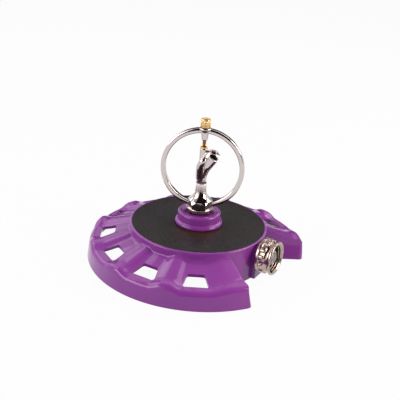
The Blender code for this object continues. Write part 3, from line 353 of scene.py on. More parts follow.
def roll_row(away):
    """The rolled edge of the rim, down to where its wall starts."""
    level = skirt_top(away, roll_radius)
    return rounding((roll_radius, level - rim_roll), rim_roll, 90, 0, 6)


def wall_row(away):
    """The rim's wall, down to the ground."""
    top = roll_row(away)[-1][1]
    return [(rim_radius + (base_radius - rim_radius) * t, top * (1 - t)) for t in evenly(levels)]


def wall_top(away):
    """The foot of the plateau's wall, above the skirt's fillet."""
    return skirt_levels(away)[0] + skirt_fillet


def inner_foot(away):
    """The corner under the skirt, against the inside of the plateau's wall."""
    return skirt_top(away, inside_wall) - below


def inner_rim(away):
    """The inside of the rim, from the panel's underside to the ground."""
    level = skirt_top(away, roll_radius) - below
    points = rounding((inside_rim - inside_roll, level - inside_roll), inside_roll, 90, 0, 3)
    foot = base_radius - casting_wall
    last = points[-1][1]
    wall = [(inside_rim + (foot - inside_rim) * t, last * (1 - t)) for t in evenly(levels)]
    return points + wall[1:]


def top_row(away):
    """The skirt's top along one angle, from the plateau's wall to the foot of the rim's roll."""
    panel = [(r, skirt_top(away, r)) for r in panel_radii[1:]]
    return fillet_row(away) + panel + roll_row(away)[1:]


def under_row(away):
    """The skirt's underside along one angle, from the plateau's wall to the rim's roll."""
    return [(r, skirt_top(away, r) - below) for r in (inside_wall, *panel_radii)]


# The plateau, its recess for the disc, and its wall.
shape = bmesh.new()
notch_shares = [2 * k / notch_steps - 1 for k in range(notch_steps + 1)]
wing_columns = [notch_half_angle + (wing_angle - notch_half_angle) * i / wing_steps
                for i in range(1, wing_steps + 1)]
ring = [notch_half_angle * share for share in notch_shares] + wing_columns + around[1:]
ring += [360 - a for a in wing_columns[:-1][::-1]] + [360 - notch_half_angle]
plateau_profile = [(spigot_hole, recess_floor), (recess_radius, recess_floor),
                   (recess_radius, plateau_height)]
plateau_profile += rounding(
    (plateau_radius - plateau_edge, plateau_height - plateau_edge), plateau_edge, 90, 0, 5)
rows = [[spot(away, r, z) for away in ring] for r, z in plateau_profile]
rows.append([spot(away, plateau_radius, wall_top(away)) for away in ring])
sheet_patch(shape, rows)

inner_notch = notch_edge(inside_wall, plate_underside, casting_wall)
inner_ring = []
for away in ring:
    turned_away = (away + 180) % 360 - 180
    if abs(turned_away) <= notch_half_angle + 0.001:
        inner_ring.append(away + turned_away * (inner_notch / notch_half_angle - 1))
    elif abs(turned_away) < wing_angle:
        side = math.copysign(1, turned_away)
        share = (wing_angle - abs(turned_away)) / (wing_angle - notch_half_angle)
        inner_away = side * (wing_angle + (inner_notch - wing_angle) * share)
        inner_ring.append(away + inner_away - turned_away)
    else:
        inner_ring.append(away)
rows = [
    [spot(away, spigot_hole, recess_floor) for away in ring],
    [spot(away, spigot_hole, plate_underside) for away in ring],
    [spot(away, inside_wall - 0.001, plate_underside) for away in inner_ring],
    [spot(away, inside_wall, plate_underside - 0.001) for away in inner_ring],
    [spot(away, inside_wall, inner_foot(level)) for level, away in zip(ring, inner_ring)],
]
sheet_patch(shape, rows)

# The skirt's valleys, each a panel woven round its window. One at the back has a narrow slot.
sides = (valley_steps, panel_steps, valley_steps, panel_steps)
window = opening_outline(window_shape, window_corner, sides)
slot = opening_outline(slot_shape, slot_corner, sides)
for valley in range(valley_count):
    hole, weave = (slot, 12) if valley == slotted_valley else (window, 6)
    middle = first_valley + valley_pitch * valley
    left = middle - valley_pitch / 2
    right_side = middle + valley_pitch / 2
    border = [(left + valley_pitch * i / valley_steps, fillet_radius) for i in range(valley_steps)]
    border += [(right_side, r) for r in panel_radii[:-1]]
    border += [(right_side - valley_pitch * i / valley_steps, roll_radius)
               for i in range(valley_steps)]
    border += [(left, r) for r in panel_radii[:0:-1]]
    rings = []
    for share in evenly(weave):
        row = []
        for (away, radius), inner in zip(border, hole):
            turn = math.radians(away - middle)
            outer = Vector((radius * math.cos(turn), radius * math.sin(turn)))
            plan = inner.lerp(outer, share)
            row.append((middle + math.degrees(math.atan2(plan.y, plan.x)), plan.length))
        rings.append(row + row[:1])
    for drop in (0, below):
        sheet_patch(shape, [[spot(a, r, skirt_top(a, r) - drop) for a, r in row] for row in rings])
    rim = [[spot(a, r, skirt_top(a, r) - drop) for a, r in rings[0]] for drop in (0, below)]
    sheet_patch(shape, rim)

# The fillet, the rim and the inside of the rim, round the valleys.
sheet_patch(shape, list(zip(*[[spot(a, r, z) for r, z in fillet_row(a)] for a in around])))
rows = list(zip(*[[spot(a, r, z) for r, z in roll_row(a) + wall_row(a)[1:]] for a in around]))
rows += list(zip(*[[spot(a, r, z) for r, z in inner_rim(a)[::-1]] for a in around]))
sheet_patch(shape, rows)
sheet_patch(shape, [
    [spot(a, inside_wall, inner_foot(a)) for a in around],
    [spot(a, fillet_radius, skirt_top(a, fillet_radius) - below) for a in around]])
sheet_patch(shape, [
    [spot(a, roll_radius, skirt_top(a, roll_radius) - below) for a in around],
    [spot(a, *inner_rim(a)[0]) for a in around]])

# The two wings beside the notch, and the notch's sides.
for side in (-1, 1):
    columns = []
    inner_columns = []
    for share in evenly(wing_steps):
        nominal = wing_away(side, share, plateau_radius, plateau_height)
        outer = top_row(nominal) + wall_row(nominal)[1:]
        inner = under_row(nominal) + inner_rim(nominal)
        columns.append([spot(wing_away(side, share, r, z), r, z) for r, z in outer])
        inner_columns.append(
            [spot(wing_away(side, share, r, z, casting_wall), r, z) for r, z in inner])
    sheet_patch(shape, columns)
    sheet_patch(shape, inner_columns)
    sheet_patch(shape, [[c[-1] for c in columns], [c[-1] for c in inner_columns]])

    crest = wing_away(side, 1, plateau_radius, plateau_height)
    corner = wall_row(crest)
    walls = [[(r, z * (1 - t)) for t in evenly(levels)] for r, z in top_row(crest)]
    for share in evenly(3)[1:]:
        walls.append([(rim_radius + (r - rim_radius) * share, z) for r, z in corner])
    inner_tops = under_row(crest) + inner_rim(crest)[:4]
    inner_walls = [[(r, z * (1 - t)) for t in evenly(levels)] for r, z in inner_tops]
    inner_walls.append(inner_rim(crest)[3:])
    outside, inside = [
        [[spot(side * notch_edge(r, z, inset), r, z) for r, z in wall] for wall in face]
        for face, inset in ((walls, 0), (inner_walls, casting_wall))]
    sheet_patch(shape, outside)
    sheet_patch(shape, inside)
    foot = [wall[-1] for wall in outside]
    inner_line = [wall[-1] for wall in inside]
    spread = [inner_line[round(i * (len(inner_line) - 1) / (len(foot) - 1))]
              for i in range(len(foot))]
    sheet_patch(shape, [foot, spread])

# The plateau's wall at the back of the notch, down to the ground and up its inside.
rows = []
for radius, top, inset in (
        (plateau_radius, wall_top(0), 0), (inside_wall, inner_foot(0), casting_wall)):
    face = []
    for share in evenly(levels):
        height = top * (1 - share)
        half = notch_edge(radius, height, inset)
        face.append([spot(half * k, radius, height) for k in notch_shares])
    rows += face if inset == 0 else face[::-1]
sheet_patch(shape, rows)

# Powder coat: resin powder melted to a gloss skin about 0.08 mm thick. Its orange peel, about
# 1.5 mm from crest to crest, breaks up the reflections, and the colour pools a little darker.
powder_coat, tree, shader, place = mottled(
    "purple_powder_coat", {"Scale": 38, "Detail": 3}, ("#7B3488", "#883991"), (0.26, 0.34),
    ({"Scale": 650, "Detail": 2}, 0.15, 0.00006))
pooled = shader.inputs["Base Color"].links[0].from_socket
speckle = add_node(tree, "ShaderNodeTexNoise", {}, {"Vector": place, "Scale": 1400, "Detail": 1})
dusted = add_node(tree, "ShaderNodeMixRGB", {"blend_type": "SOFT_LIGHT"}, {
    "Fac": 0.12, "Color1": pooled, "Color2": speckle.outputs["Color"]})
tree.links.new(dusted.outputs["Color"], shader.inputs["Base Color"])
shader.inputs["Specular IOR Level"].default_value = 0.15
shader.inputs["Coat Weight"].default_value = 0.6
shader.inputs["Coat Roughness"].default_value = 0.05

base_shell = mesh_piece("base_shell", shape, powder_coat, "base")
soften(base_shell, 0.0007)
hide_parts("base_casting")


# Inlet pad
# The part of the casting that the hose swivel seats on: an arched pad on the notch's back
# wall, cast in one with it and coated with it.
inlet_height = 0.0215
pad_radius = 0.0100
pad_face = 0.0668
upward = Vector((0, 0, 1))
outward = Vector(spot(0, 1, 0))
inlet = Matrix((upward.cross(outward), upward, outward)).transposed().to_4x4()
inlet.translation = (0, 0, inlet_height)


def lofted(rings):
    """Skin closed rings of points, and close the first and the last with a face."""
    shape = bmesh.new()
    loops = [[shape.verts.new(point) for point in ring] for ring in rings]
    for lower, upper in zip(loops, loops[1:]):
        for a, b, c, d in zip(lower, lower[1:] + lower[:1], upper[1:] + upper[:1], upper):
            shape.faces.new((a, b, c, d))
    for end in (loops[0], loops[-1]):
        shape.faces.new(end)
    return shape


def slab(outline, low, high, place=Matrix()):
    """Extrude a flat outline between two heights along an axis."""
    return lofted([[place @ Vector((x, y, z)) for x, y in outline] for z in (low, high)])


arch = rounding((0, 0), pad_radius, 0, 180, 40)
arch += [(-pad_radius, -inlet_height), (pad_radius, -inlet_height)]
shape = slab(arch, plateau_radius - 0.0015, pad_face, inlet)
inlet_pad = mesh_piece("inlet_pad", shape, powder_coat, "base")
soften(inlet_pad, 0.0009)


# Cover disc
# A sheet of steel let into the plateau's recess, finished in a fine black texture paint. The
# collar's bead and the plateau's edge hold it down.
disc_radius = 0.0616
disc_hole = 0.0199
disc_foot = recess_floor + 0.0003
disc_edge = 0.0003
# Where the painted reflection of the collar sits on the disc, and how far it runs out.
reflection_shift = 0.0140
reflection_full = 0.0120
reflection_edge = 0.0285


def turn_profile(profile, steps, place=Matrix()):
    """Turn a profile of (radius, height) round an axis. It closes on itself or on the axis."""
    shape = bmesh.new()
    rings = []
    for radius, height in profile:
        angles = [2 * math.pi * i / steps for i in range(steps if radius > 0 else 1)]
        circle = [(radius * math.cos(a), radius * math.sin(a), height) for a in angles]
        rings.append([shape.verts.new(place @ Vector(point)) for point in circle])
    pairs = list(zip(rings, rings[1:]))
    if profile[0][0] > 0:
        pairs.append((rings[-1], rings[0]))
    for lower, upper in pairs:
        widest = max(len(lower), len(upper))
        for i in range(widest if widest > 1 else 0):
            j = (i + 1) % steps
            corners = [lower[i % len(lower)], lower[j % len(lower)],
                       upper[j % len(upper)], upper[i % len(upper)]]
            shape.faces.new(list(dict.fromkeys(corners)))
    return shape


def edged(radius, height, edge, across):
    """A quarter round at a profile's top corner, on its outer side (1) or its inner one (-1)."""
    angles = [math.pi / 2 * share for share in evenly(4)]
    return [(radius - across * edge * (1 - math.cos(a)), height - edge * (1 - math.sin(a)))
            for a in angles]


profile = [(disc_hole, disc_foot), (disc_radius, disc_foot)]
profile += edged(disc_radius, plateau_height, disc_edge, 1)
profile += edged(disc_hole, plateau_height, disc_edge, -1)[::-1]
shape = turn_profile(profile, 192)

# Texture paint: pigment that dries in a fine crinkle, about 0.8 mm from grain to grain. It
# reads as a dull dark grey, mottled every 1.6 mm or so, with a soft wide shine. A painted
# reflection of the collar lies on it: a brown patch centred towards the camera, 20 mm long.
texture_paint, tree, shader, place = new_finish("black_texture_paint")
grain = add_node(tree, "ShaderNodeTexVoronoi", {}, {"Vector": place, "Scale": 1300})
cloud = add_node(tree, "ShaderNodeTexNoise", {}, {"Vector": place, "Scale": 60, "Detail": 4})
mottle = add_node(tree, "ShaderNodeTexNoise", {}, {
    "Vector": place, "Scale": 620, "Detail": 4, "Roughness": 0.65})
fleck = add_node(tree, "ShaderNodeMapRange", {}, {
    "Value": mottle.outputs["Fac"], "From Min": 0.36, "From Max": 0.64})
mixed = add_node(tree, "ShaderNodeMixRGB", {}, {
    "Fac": fleck.outputs["Result"], "Color1": tone("#141212"), "Color2": tone("#312E2D")})
# Painted reflection: a brown patch that fades out from a centre shifted towards the camera, broken
# up by the cloud noise.
reflection_offset = add_node(tree, "ShaderNodeVectorMath", {"operation": "MULTIPLY_ADD"}, {
    0: place, 1: (1, 1, 0), 2: photo_turn @ Vector((0, reflection_shift, 0))})
reflection_distance = add_node(tree, "ShaderNodeVectorMath", {"operation": "LENGTH"}, {
    0: reflection_offset.outputs["Vector"]})
reflection_fade = add_node(tree, "ShaderNodeMapRange", {"interpolation_type": "SMOOTHSTEP"}, {
    "Value": reflection_distance.outputs["Value"], "From Min": reflection_full, "From Max": reflection_edge,
    "To Min": 1.3, "To Max": 0.0})
patchy_reflection = add_node(tree, "ShaderNodeMath", {"operation": "MULTIPLY"}, {
    0: reflection_fade.outputs["Result"], 1: cloud.outputs["Fac"]})
painted_reflection = add_node(tree, "ShaderNodeMixRGB", {}, {
    "Fac": patchy_reflection.outputs[0], "Color1": mixed.outputs["Color"], "Color2": tone("#3C2A12")})
dull = add_node(tree, "ShaderNodeMapRange", {}, {
    "Value": cloud.outputs["Fac"], "To Min": 0.34, "To Max": 0.44})
crinkle = add_node(tree, "ShaderNodeBump", {}, {
    "Height": grain.outputs["Distance"], "Strength": 0.35, "Distance": 0.00008})
tree.links.new(painted_reflection.outputs["Color"], shader.inputs["Base Color"])
tree.links.new(dull.outputs["Result"], shader.inputs["Roughness"])
tree.links.new(crinkle.outputs["Normal"], shader.inputs["Normal"])
shader.inputs["Specular IOR Level"].default_value = 0.14

cover_plate = mesh_piece("cover_plate", shape, texture_paint, "base")
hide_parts("cover_disc")


# Riser collar
# The stepped collar that the hub screws into, turned and coated to match the casting. A round
# bead at its foot hides the edge of the cover disc's hole.
collar_foot = plateau_height + 0.0003
bead_radius = 0.0221
bead_round = 0.0024
bead_top = collar_foot + 0.0036
collar_radius = 0.0198
collar_top = 0.0459
collar_seat = 0.0453
collar_round = 0.0018
collar_lip = 0.0169
collar_plug = 0.0196
collar_spigot = 0.0090
hub_socket = 0.0083
socket_foot = 0.0400
profile = [(water_bore, plate_underside), (collar_spigot, plate_underside)]
profile += [(collar_spigot, disc_foot), (collar_plug, disc_foot), (collar_plug, collar_foot)]
profile += [(bead_radius - 0.0006, collar_foot)]
profile += rounding((bead_radius - bead_round, bead_top - bead_round), bead_round, -20, 70, 10)
profile += rounding((collar_radius + 0.0008, bead_top + 0.0008), 0.0008, 250, 180, 5)
profile += rounding(
    (collar_radius - collar_round, collar_top - collar_round), collar_round, 0, 90, 8)
profile += rounding((collar_lip, collar_top - 0.0006), 0.0006, 90, 180, 4)
profile += [(0.0160, collar_seat), (hub_socket, collar_seat), (hub_socket, socket_foot)]
profile += [(water_bore, socket_foot)]
shape = turn_profile(profile, 128)
collar = mesh_piece("collar", shape, powder_coat, "base")
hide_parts("riser_collar")


# Manifold, its gasket and screws
# The water passage under the plateau: an elbow moulded in dark grey nylon, sealed with a
# rubber gasket and held by four stainless screws. It shows only from below.


def wear(node, material):
    """Give a CAD piece a better material."""
    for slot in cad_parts[node].material_slots:
        slot.material = material


# Glass filled nylon: moulded, with a soft flow marbling and the fine pitting of its mould.
nylon = mottled(
    "glass_filled_nylon", {"Scale": 90, "Detail": 4, "Distortion": 1.5}, ("#5A5754", "#6B6864"),
    0.55, ({"Scale": 1800}, 0.3, 0.00005))[0]
wear("inlet_manifold", nylon)
wear("thrust_washer", nylon)

# Nitrile rubber: moulded, near black, dull, with a fine bloom on it.
rubber = mottled(
    "nitrile_rubber", {"Scale": 700, "Detail": 3}, ("#1B1918", "#2E2A28"), 0.7,
    (None, 0.3, 0.00004))[0]
for node in ("manifold_gasket", "tailpiece_o_ring", "hose_washer"):
    wear(node, rubber)

# Stainless steel: cold headed and tumbled, a soft grey with a faint directionless grain.
stainless = mottled(
    "tumbled_stainless_steel", {"Scale": 900, "Detail": 4}, ("#9A9693", "#B3AFAB"), (0.28, 0.42),
    metallic=1.0)[0]
for number in range(1, 5):
    wear(f"manifold_screw_{number}", stainless)


# Inlet tailpiece
# The nipple that the hose swivel turns on, turned from free cutting brass. Only its flange
# shows, deep in the mouth of the nut, behind the filter screen.

# Brass: bright yellow where it is cut, with lathe rings about 0.15 mm apart and a thin tan
# tarnish between them.
brass, tree, shader, place = mottled(
    "turned_brass", {"Scale": 320, "Detail": 5}, ("#EEC37A", "#FAE3AC"), (0.28, 0.42),
    metallic=1.0)
lathe_rings = add_node(tree, "ShaderNodeTexWave", {"bands_direction": "Z"}, {
    "Vector": place, "Scale": 1000, "Distortion": 0.4})
cut = add_node(tree, "ShaderNodeBump", {}, {
    "Height": lathe_rings.outputs["Fac"], "Strength": 0.12, "Distance": 0.00003})
tree.links.new(cut.outputs["Normal"], shader.inputs["Normal"])
wear("inlet_tailpiece", brass)
wear("jet_nozzle", brass)


# Hose swivel nut
# The nut that takes the hose: cast brass under a warm nickel plate, with a thick flange at
# its back, a band of twelve grip lugs, a waist and a rolled rim round the threaded mouth.
nut_back = 0.0672
nut_mouth = 0.0817
nut_bore = 0.0126
nut_seat = nut_back + 0.0022
neck_hole = 0.0082
lug_count = 12
lug_share = 0.62
lug_flank = 0.14
steps_per_lug = 12


def grip(share):
    """How far the lug stands out, over one lug's share of the band."""
    swing = abs((share % 1) - 0.5) * 2
    return min(max((lug_share - swing) / lug_flank, 0.0), 1.0)


profile = [
    (0.0147, 0.0147, nut_back), (0.0155, 0.0155, nut_back + 0.0002),
    (0.0158, 0.0158, nut_back + 0.0008), (0.0158, 0.0158, nut_back + 0.0026),
    (0.0155, 0.0155, nut_back + 0.0032), (0.0148, 0.0157, nut_back + 0.0035),
    (0.0146, 0.0160, nut_back + 0.0039), (0.0146, 0.0160, nut_back + 0.0070),
    (0.0146, 0.0157, nut_back + 0.0077), (0.0146, 0.0146, nut_back + 0.0082),
    (0.0142, 0.0142, nut_back + 0.0090), (0.0141, 0.0141, nut_back + 0.0106),
    (0.0143, 0.0143, nut_mouth - 0.0030), (0.0150, 0.0150, nut_mouth - 0.0023),
    (0.0154, 0.0154, nut_mouth - 0.0016), (0.0154, 0.0154, nut_mouth - 0.0006),
    (0.0151, 0.0151, nut_mouth - 0.0001), (0.0148, 0.0148, nut_mouth),
    (0.0140, 0.0140, nut_mouth), (0.0137, 0.0137, nut_mouth - 0.0002),
    (nut_bore, nut_bore, nut_mouth - 0.0012), (nut_bore, nut_bore, nut_seat),
    (neck_hole, neck_hole, nut_seat), (neck_hole, neck_hole, nut_back),
]
shape = bmesh.new()
steps = lug_count * steps_per_lug
rows = []
for gap, lug, along in profile:
    row = []
    for i in range(steps + 1):
        angle = 2 * math.pi * i / steps
        radius = gap + (lug - gap) * grip(i / steps_per_lug)
        row.append(inlet @ Vector((radius * math.cos(angle), radius * math.sin(angle), along)))
    rows.append(row)
sheet_patch(shape, rows + rows[:1])

# Nickel plate: warm silver over brass, a little worn, so it is cloudy where hands and hose
# have rubbed it, with hairlines about 0.4 mm apart and the brass's yellow just showing.
nickel = mottled(
    "worn_nickel_plate", {"Scale": 260, "Detail": 5}, ("#9A897D", "#C2B3A9"), (0.10, 0.22),
    ({"Scale": 1300}, 0.10, 0.00004), metallic=1.0)[0]

nut = mesh_piece("hose_nut", shape, nickel, "swivel")
soften(nut, 0.00025, 2, 40)
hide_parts("swivel_nut")


# Hose thread
# The 3/4 inch hose thread in the nut's mouth: one ridge, 11.5 turns to the inch, rolled into
# the bore. It winds just over two turns, from the washer out to the mouth.
thread_pitch = 0.00221
thread_turns = 2.3


def new_geometry(name, sizes):
    """Start a Geometry Nodes tree with named sizes. Returns the tree and its inputs."""
    tree = bpy.data.node_groups.new(name, "GeometryNodeTree")
    for size, (kind, value) in sizes.items():
        made = tree.interface.new_socket(size, in_out="INPUT", socket_type=kind)
        made.default_value = value
    tree.interface.new_socket("Geometry", in_out="OUTPUT", socket_type="NodeSocketGeometry")
    return tree, tree.nodes.new("NodeGroupInput").outputs


def baked(held, drop=()):
    """Return a held object's evaluated mesh as a bmesh, and remove the object."""
    graph = bpy.context.evaluated_depsgraph_get()
    mesh = bpy.data.meshes.new_from_object(held.evaluated_get(graph))
    shape = bmesh.new()
    shape.from_mesh(mesh)
    bpy.data.meshes.remove(mesh)
    for old in (held, *drop):
        bpy.data.objects.remove(old)
    return shape


def grow(name, tree, result, material):
    """Finish a Geometry Nodes tree, run it, and return what it makes as a bmesh."""
    realized = add_node(tree, "GeometryNodeRealizeInstances", {}, {"Geometry": result})
    dressed = add_node(tree, "GeometryNodeSetMaterial", {}, {
        "Geometry": realized.outputs["Geometry"], "Material": material})
    output = tree.nodes.new("NodeGroupOutput")
    tree.links.new(dressed.outputs["Geometry"], output.inputs["Geometry"])
    carrier = linked(name, bpy.data.meshes.new(name))
    carrier.modifiers.new("grow", "NODES").node_group = tree
    return baked(carrier)


tree, size = new_geometry("thread ridge", {
    "Turns": ("NodeSocketFloat", thread_turns),
    "Radius": ("NodeSocketFloat", nut_bore - 0.0001),
    "Length": ("NodeSocketFloat", thread_pitch * thread_turns),
    "Ridge": ("NodeSocketFloat", 0.0007),
})
helix = add_node(tree, "GeometryNodeCurveSpiral", {}, {
    "Resolution": 72, "Rotations": size["Turns"], "Start Radius": size["Radius"],
    "End Radius": size["Radius"], "Height": size["Length"]})
ridge = add_node(tree, "GeometryNodeCurvePrimitiveCircle", {}, {
    "Resolution": 6, "Radius": size["Ridge"]})
wound = add_node(tree, "GeometryNodeCurveToMesh", {}, {
    "Curve": helix.outputs["Curve"], "Profile Curve": ridge.outputs["Curve"], "Fill Caps": True})
shape = grow("thread", tree, wound.outputs["Mesh"], nickel)
start = nut_mouth - 0.0011 - thread_pitch * thread_turns
bmesh.ops.transform(shape, matrix=inlet @ Matrix.Translation((0, 0, start)), verts=shape.verts)
thread = mesh_piece("hose_thread", shape, nickel, "swivel")


# Filter screen
# A dome of stainless wire cloth, pressed over a former and crimped into a flat brim, which
# keeps grit out of the jet. The wires stand 0.8 mm apart, coarser than life so that they show.
screen_brim = 0.0721
screen_radius = 0.0086
brim_back = 0.0715
brim_radius = 0.0120
dome_outside = screen_radius - 0.0003
dome_inside = screen_radius - 0.0008
wire_gap = 0.0008
gaps_across = 22
profile = [(0.0080, brim_back), (brim_radius, brim_back), (brim_radius, screen_brim)]
profile += [(0.0087, screen_brim)]
profile += [(r, screen_brim + z) for r, z in rounding((0, 0), dome_outside, 0, 89, 12)]
profile += [(0, screen_brim + dome_outside), (0, screen_brim + dome_inside)]
profile += [(r, screen_brim + z) for r, z in rounding((0, 0), dome_inside, 89, 0, 12)]
shape = turn_profile(profile, 64, inlet)
screen = mesh_piece("screen_dome", shape, stainless, "swivel")
soften(screen, 0.0001, 2, 50)
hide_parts("filter_screen")

tree, size = new_geometry("wire cloth", {
    "Radius": ("NodeSocketFloat", screen_radius),
    "Width": ("NodeSocketFloat", wire_gap * gaps_across),
    "Wires": ("NodeSocketInt", gaps_across + 1),
    "Wire": ("NodeSocketFloat", 0.00014),
})
cloth = add_node(tree, "GeometryNodeMeshGrid", {}, {
    "Size X": size["Width"], "Size Y": size["Width"],
    "Vertices X": size["Wires"], "Vertices Y": size["Wires"]})
spread = add_node(tree, "GeometryNodeInputPosition").outputs["Position"]
reach = add_node(tree, "ShaderNodeVectorMath", {"operation": "LENGTH"}, {0: spread})
edge = add_node(tree, "ShaderNodeMath", {"operation": "MULTIPLY"}, {0: size["Radius"], 1: 0.97})
outside = add_node(tree, "FunctionNodeCompare", {"operation": "GREATER_THAN"}, {
    0: reach.outputs["Value"], 1: edge.outputs["Value"]})
trimmed = add_node(tree, "GeometryNodeDeleteGeometry", {}, {
    "Geometry": cloth.outputs["Mesh"], "Selection": outside.outputs["Result"]})
square = add_node(tree, "ShaderNodeVectorMath", {"operation": "DOT_PRODUCT"}, {
    0: spread, 1: spread})
full = add_node(tree, "ShaderNodeMath", {"operation": "MULTIPLY"}, {
    0: size["Radius"], 1: size["Radius"]})
left = add_node(tree, "ShaderNodeMath", {"operation": "SUBTRACT"}, {
    0: full.outputs["Value"], 1: square.outputs["Value"]})
rise = add_node(tree, "ShaderNodeMath", {"operation": "SQRT"}, {0: left.outputs["Value"]})
lift = add_node(tree, "ShaderNodeCombineXYZ", {}, {"Z": rise.outputs["Value"]})
domed = add_node(tree, "GeometryNodeSetPosition", {}, {
    "Geometry": trimmed.outputs["Geometry"], "Offset": lift.outputs["Vector"]})
lines = add_node(tree, "GeometryNodeMeshToCurve", {}, {"Mesh": domed.outputs["Geometry"]})
wire = add_node(tree, "GeometryNodeCurvePrimitiveCircle", {}, {
    "Resolution": 5, "Radius": size["Wire"]})
drawn = add_node(tree, "GeometryNodeCurveToMesh", {}, {
    "Curve": lines.outputs["Curve"], "Profile Curve": wire.outputs["Curve"], "Fill Caps": True})
shape = grow("cloth", tree, drawn.outputs["Mesh"], stainless)
bmesh.ops.transform(
    shape, matrix=inlet @ Matrix.Translation((0, 0, screen_brim)), verts=shape.verts)
cloth = mesh_piece("screen_wires", shape, stainless, "swivel")


# Head gasket
# A thick ring of fibre board, squeezed between the hub's foot and the collar's seat, with its
# rounded edge showing in the gap.
gasket_foot = 0.0456
gasket_top = 0.0480

# Vulcanised fibre: a hard dull brown board, with short hair-like fibres that mottle it.
fibre_board = mottled(
    "vulcanised_fibre", {"Scale": 900, "Detail": 4, "Distortion": 2}, ("#4A3224", "#6B4A35"), 0.6,
    (None, 0.3, 0.00005))[0]
profile = [(hub_socket, gasket_foot), (0.0105, gasket_foot), (0.0108, 0.0460), (0.0109, 0.0468),
           (0.0108, 0.0476), (0.0105, gasket_top), (hub_socket, gasket_top)]
gasket = mesh_piece("hub_gasket", turn_profile(profile, 64), fibre_board, "base")
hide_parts("head_gasket")


# Spinner frame
# Hub, ring and top boss are one die casting in zinc, polished and chrome plated. The hub is a
# hexagon whose flats run up in arches into a bell, and the ring stands clear of the spinner.
frame_turn = Matrix.Rotation(math.radians(-21), 4, "Z")
hub_foot = 0.0483
hex_foot = 0.0501
hex_height = 0.0066
neck_top = 0.0656
neck_radius = 0.0052
flat_radius = 0.0107
plug_radius = 0.0080
plug_foot = 0.0403
flange_reach = 0.0118
flange_round = 0.0006
bell_corner = 0.0128
bell_radius = 0.0110
bell_height = 0.0089
bell_curve = 1.8
arch_share = 0.48
ring_centre = 0.0872
ring_outer = 0.0380
band_width = 0.0045
band_depth = 0.0056
band_edge = 0.0011
pivot_bore = 0.0020
pivot_boss_foot = 0.1138
pivot_boss_top = 0.1254
boss_flare = 0.0009
boss_rise = 0.0078

# Chrome plate: a mirror over polished zinc. It takes its whole look from what is round it,
# broken only by a slow ripple left by the polishing mop, some 6 mm across, and fine hairlines.
chrome, tree, shader, place = mottled(
    "chrome_plate", {"Scale": 160, "Detail": 2}, ("#C8BFBB", "#D3CBC8"), 0.06,
    (None, 0.10, 0.0002), metallic=1.0)
hairlines = add_node(tree, "ShaderNodeTexNoise", {}, {
    "Vector": place, "Scale": 2400, "Detail": 2})
gloss = add_node(tree, "ShaderNodeMapRange", {}, {
    "Value": hairlines.outputs["Fac"], "To Min": 0.03, "To Max": 0.09})
tree.links.new(gloss.outputs["Result"], shader.inputs["Roughness"])


def loose_object(shape):
    """Hold a bmesh in an object of its own while shapes are joined."""
    return linked("loose", closed_mesh("loose", shape, 0.000002))


def joined(shape, tool, operation):
    """Apply a Boolean of one bmesh to another."""
    body = loose_object(shape)
    other = loose_object(tool)
    modifier = body.modifiers.new("join", "BOOLEAN")
    modifier.solver = "EXACT"
    modifier.operation = operation
    modifier.object = other
    return baked(body, (other,))


profile = [(water_bore, plug_foot), (plug_radius, plug_foot), (plug_radius, hub_foot)]
profile += rounding((flange_reach, hub_foot + flange_round), flange_round, 270, 360, 4)
profile += rounding((flange_reach, hex_foot - flange_round), flange_round, 0, 90, 4)
profile += [(water_bore, hex_foot)]
shape = turn_profile(profile, 96, frame_turn)
hub_flange = mesh_piece("hub_flange", shape, chrome, "base")
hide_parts("spinner_frame")

profile = [(0, hub_foot + 0.0009), (bell_corner, hub_foot + 0.0009)]
profile += [(bell_corner, hex_foot + hex_height * arch_share)]
for share in evenly(16):
    radius = neck_radius + (bell_radius - neck_radius) * (1 - share) ** bell_curve
    profile.append((radius, hex_foot + hex_height + bell_height * share))
profile.append((0, neck_top))
bell = turn_profile(profile, 120)
corner = flat_radius / math.cos(math.radians(30))
hexagon = slab(rounding((0, 0), corner, 0, 300, 5), hub_foot, neck_top + 0.002)
shape = joined(bell, hexagon, "INTERSECT")
bmesh.ops.transform(shape, matrix=frame_turn, verts=shape.verts)
hub_bell = mesh_piece("hub_bell", shape, chrome, "base")
soften(hub_bell, 0.0003, 3, 24)

middle = ring_outer - band_width / 2
section = []
for sign_r, sign_d, start in ((1, 1, 0), (-1, 1, 90), (-1, -1, 180), (1, -1, 270)):
    centre = (sign_r * (band_width / 2 - band_edge), sign_d * (band_depth / 2 - band_edge))
    section += rounding(centre, band_edge, start, start + 90, 6)
upright = frame_turn @ Matrix.Translation((0, 0, ring_centre)) @ Matrix.Rotation(
    math.radians(90), 4, "X")
shape = turn_profile([(middle + dr, depth) for dr, depth in section], 240, upright)
ring_band = mesh_piece("ring_band", shape, chrome, "base")

profile = [(pivot_bore, pivot_boss_foot), (0.0025, pivot_boss_foot), (0.0028, 0.1141)]
profile += [(0.0028 + boss_flare * i / 6, 0.1141 + boss_rise * i / 6) for i in range(1, 7)]
profile += rounding((0.0046, pivot_boss_top - 0.0012), 0.0008, -30, 0, 3)
profile += rounding((0.0048, pivot_boss_top - 0.0006), 0.0006, 0, 90, 4)
profile += [(0.0036, pivot_boss_top), (0.0034, pivot_boss_top - 0.0002)]
profile += [(pivot_bore, pivot_boss_top - 0.0012)]
top_boss = mesh_piece("top_boss", turn_profile(profile, 64), chrome, "base")


# Bearing sleeve
# A plain sleeve pressed over the jet on the hub's neck, in which the spinner turns. It is bead
# blasted before its nickel plate, so it is pale and matt beside the chrome.
sleeve_radius = 0.0050
sleeve_foot = 0.0659
sleeve_top = 0.0730
sleeve_round = 0.0005
sleeve_bore = 0.0037
neck_fit = 0.0042
neck_fit_top = 0.0671

# Blasted nickel: pits of about 0.6 mm, too fine to see one by one, scatter the light evenly.
blasted_nickel = mottled(
    "blasted_nickel_plate", {"Scale": 1500, "Detail": 3}, ("#E4E1DC", "#F0EDE9"), (0.38, 0.50),
    (None, 0.2, 0.00003), metallic=0.25)[0]

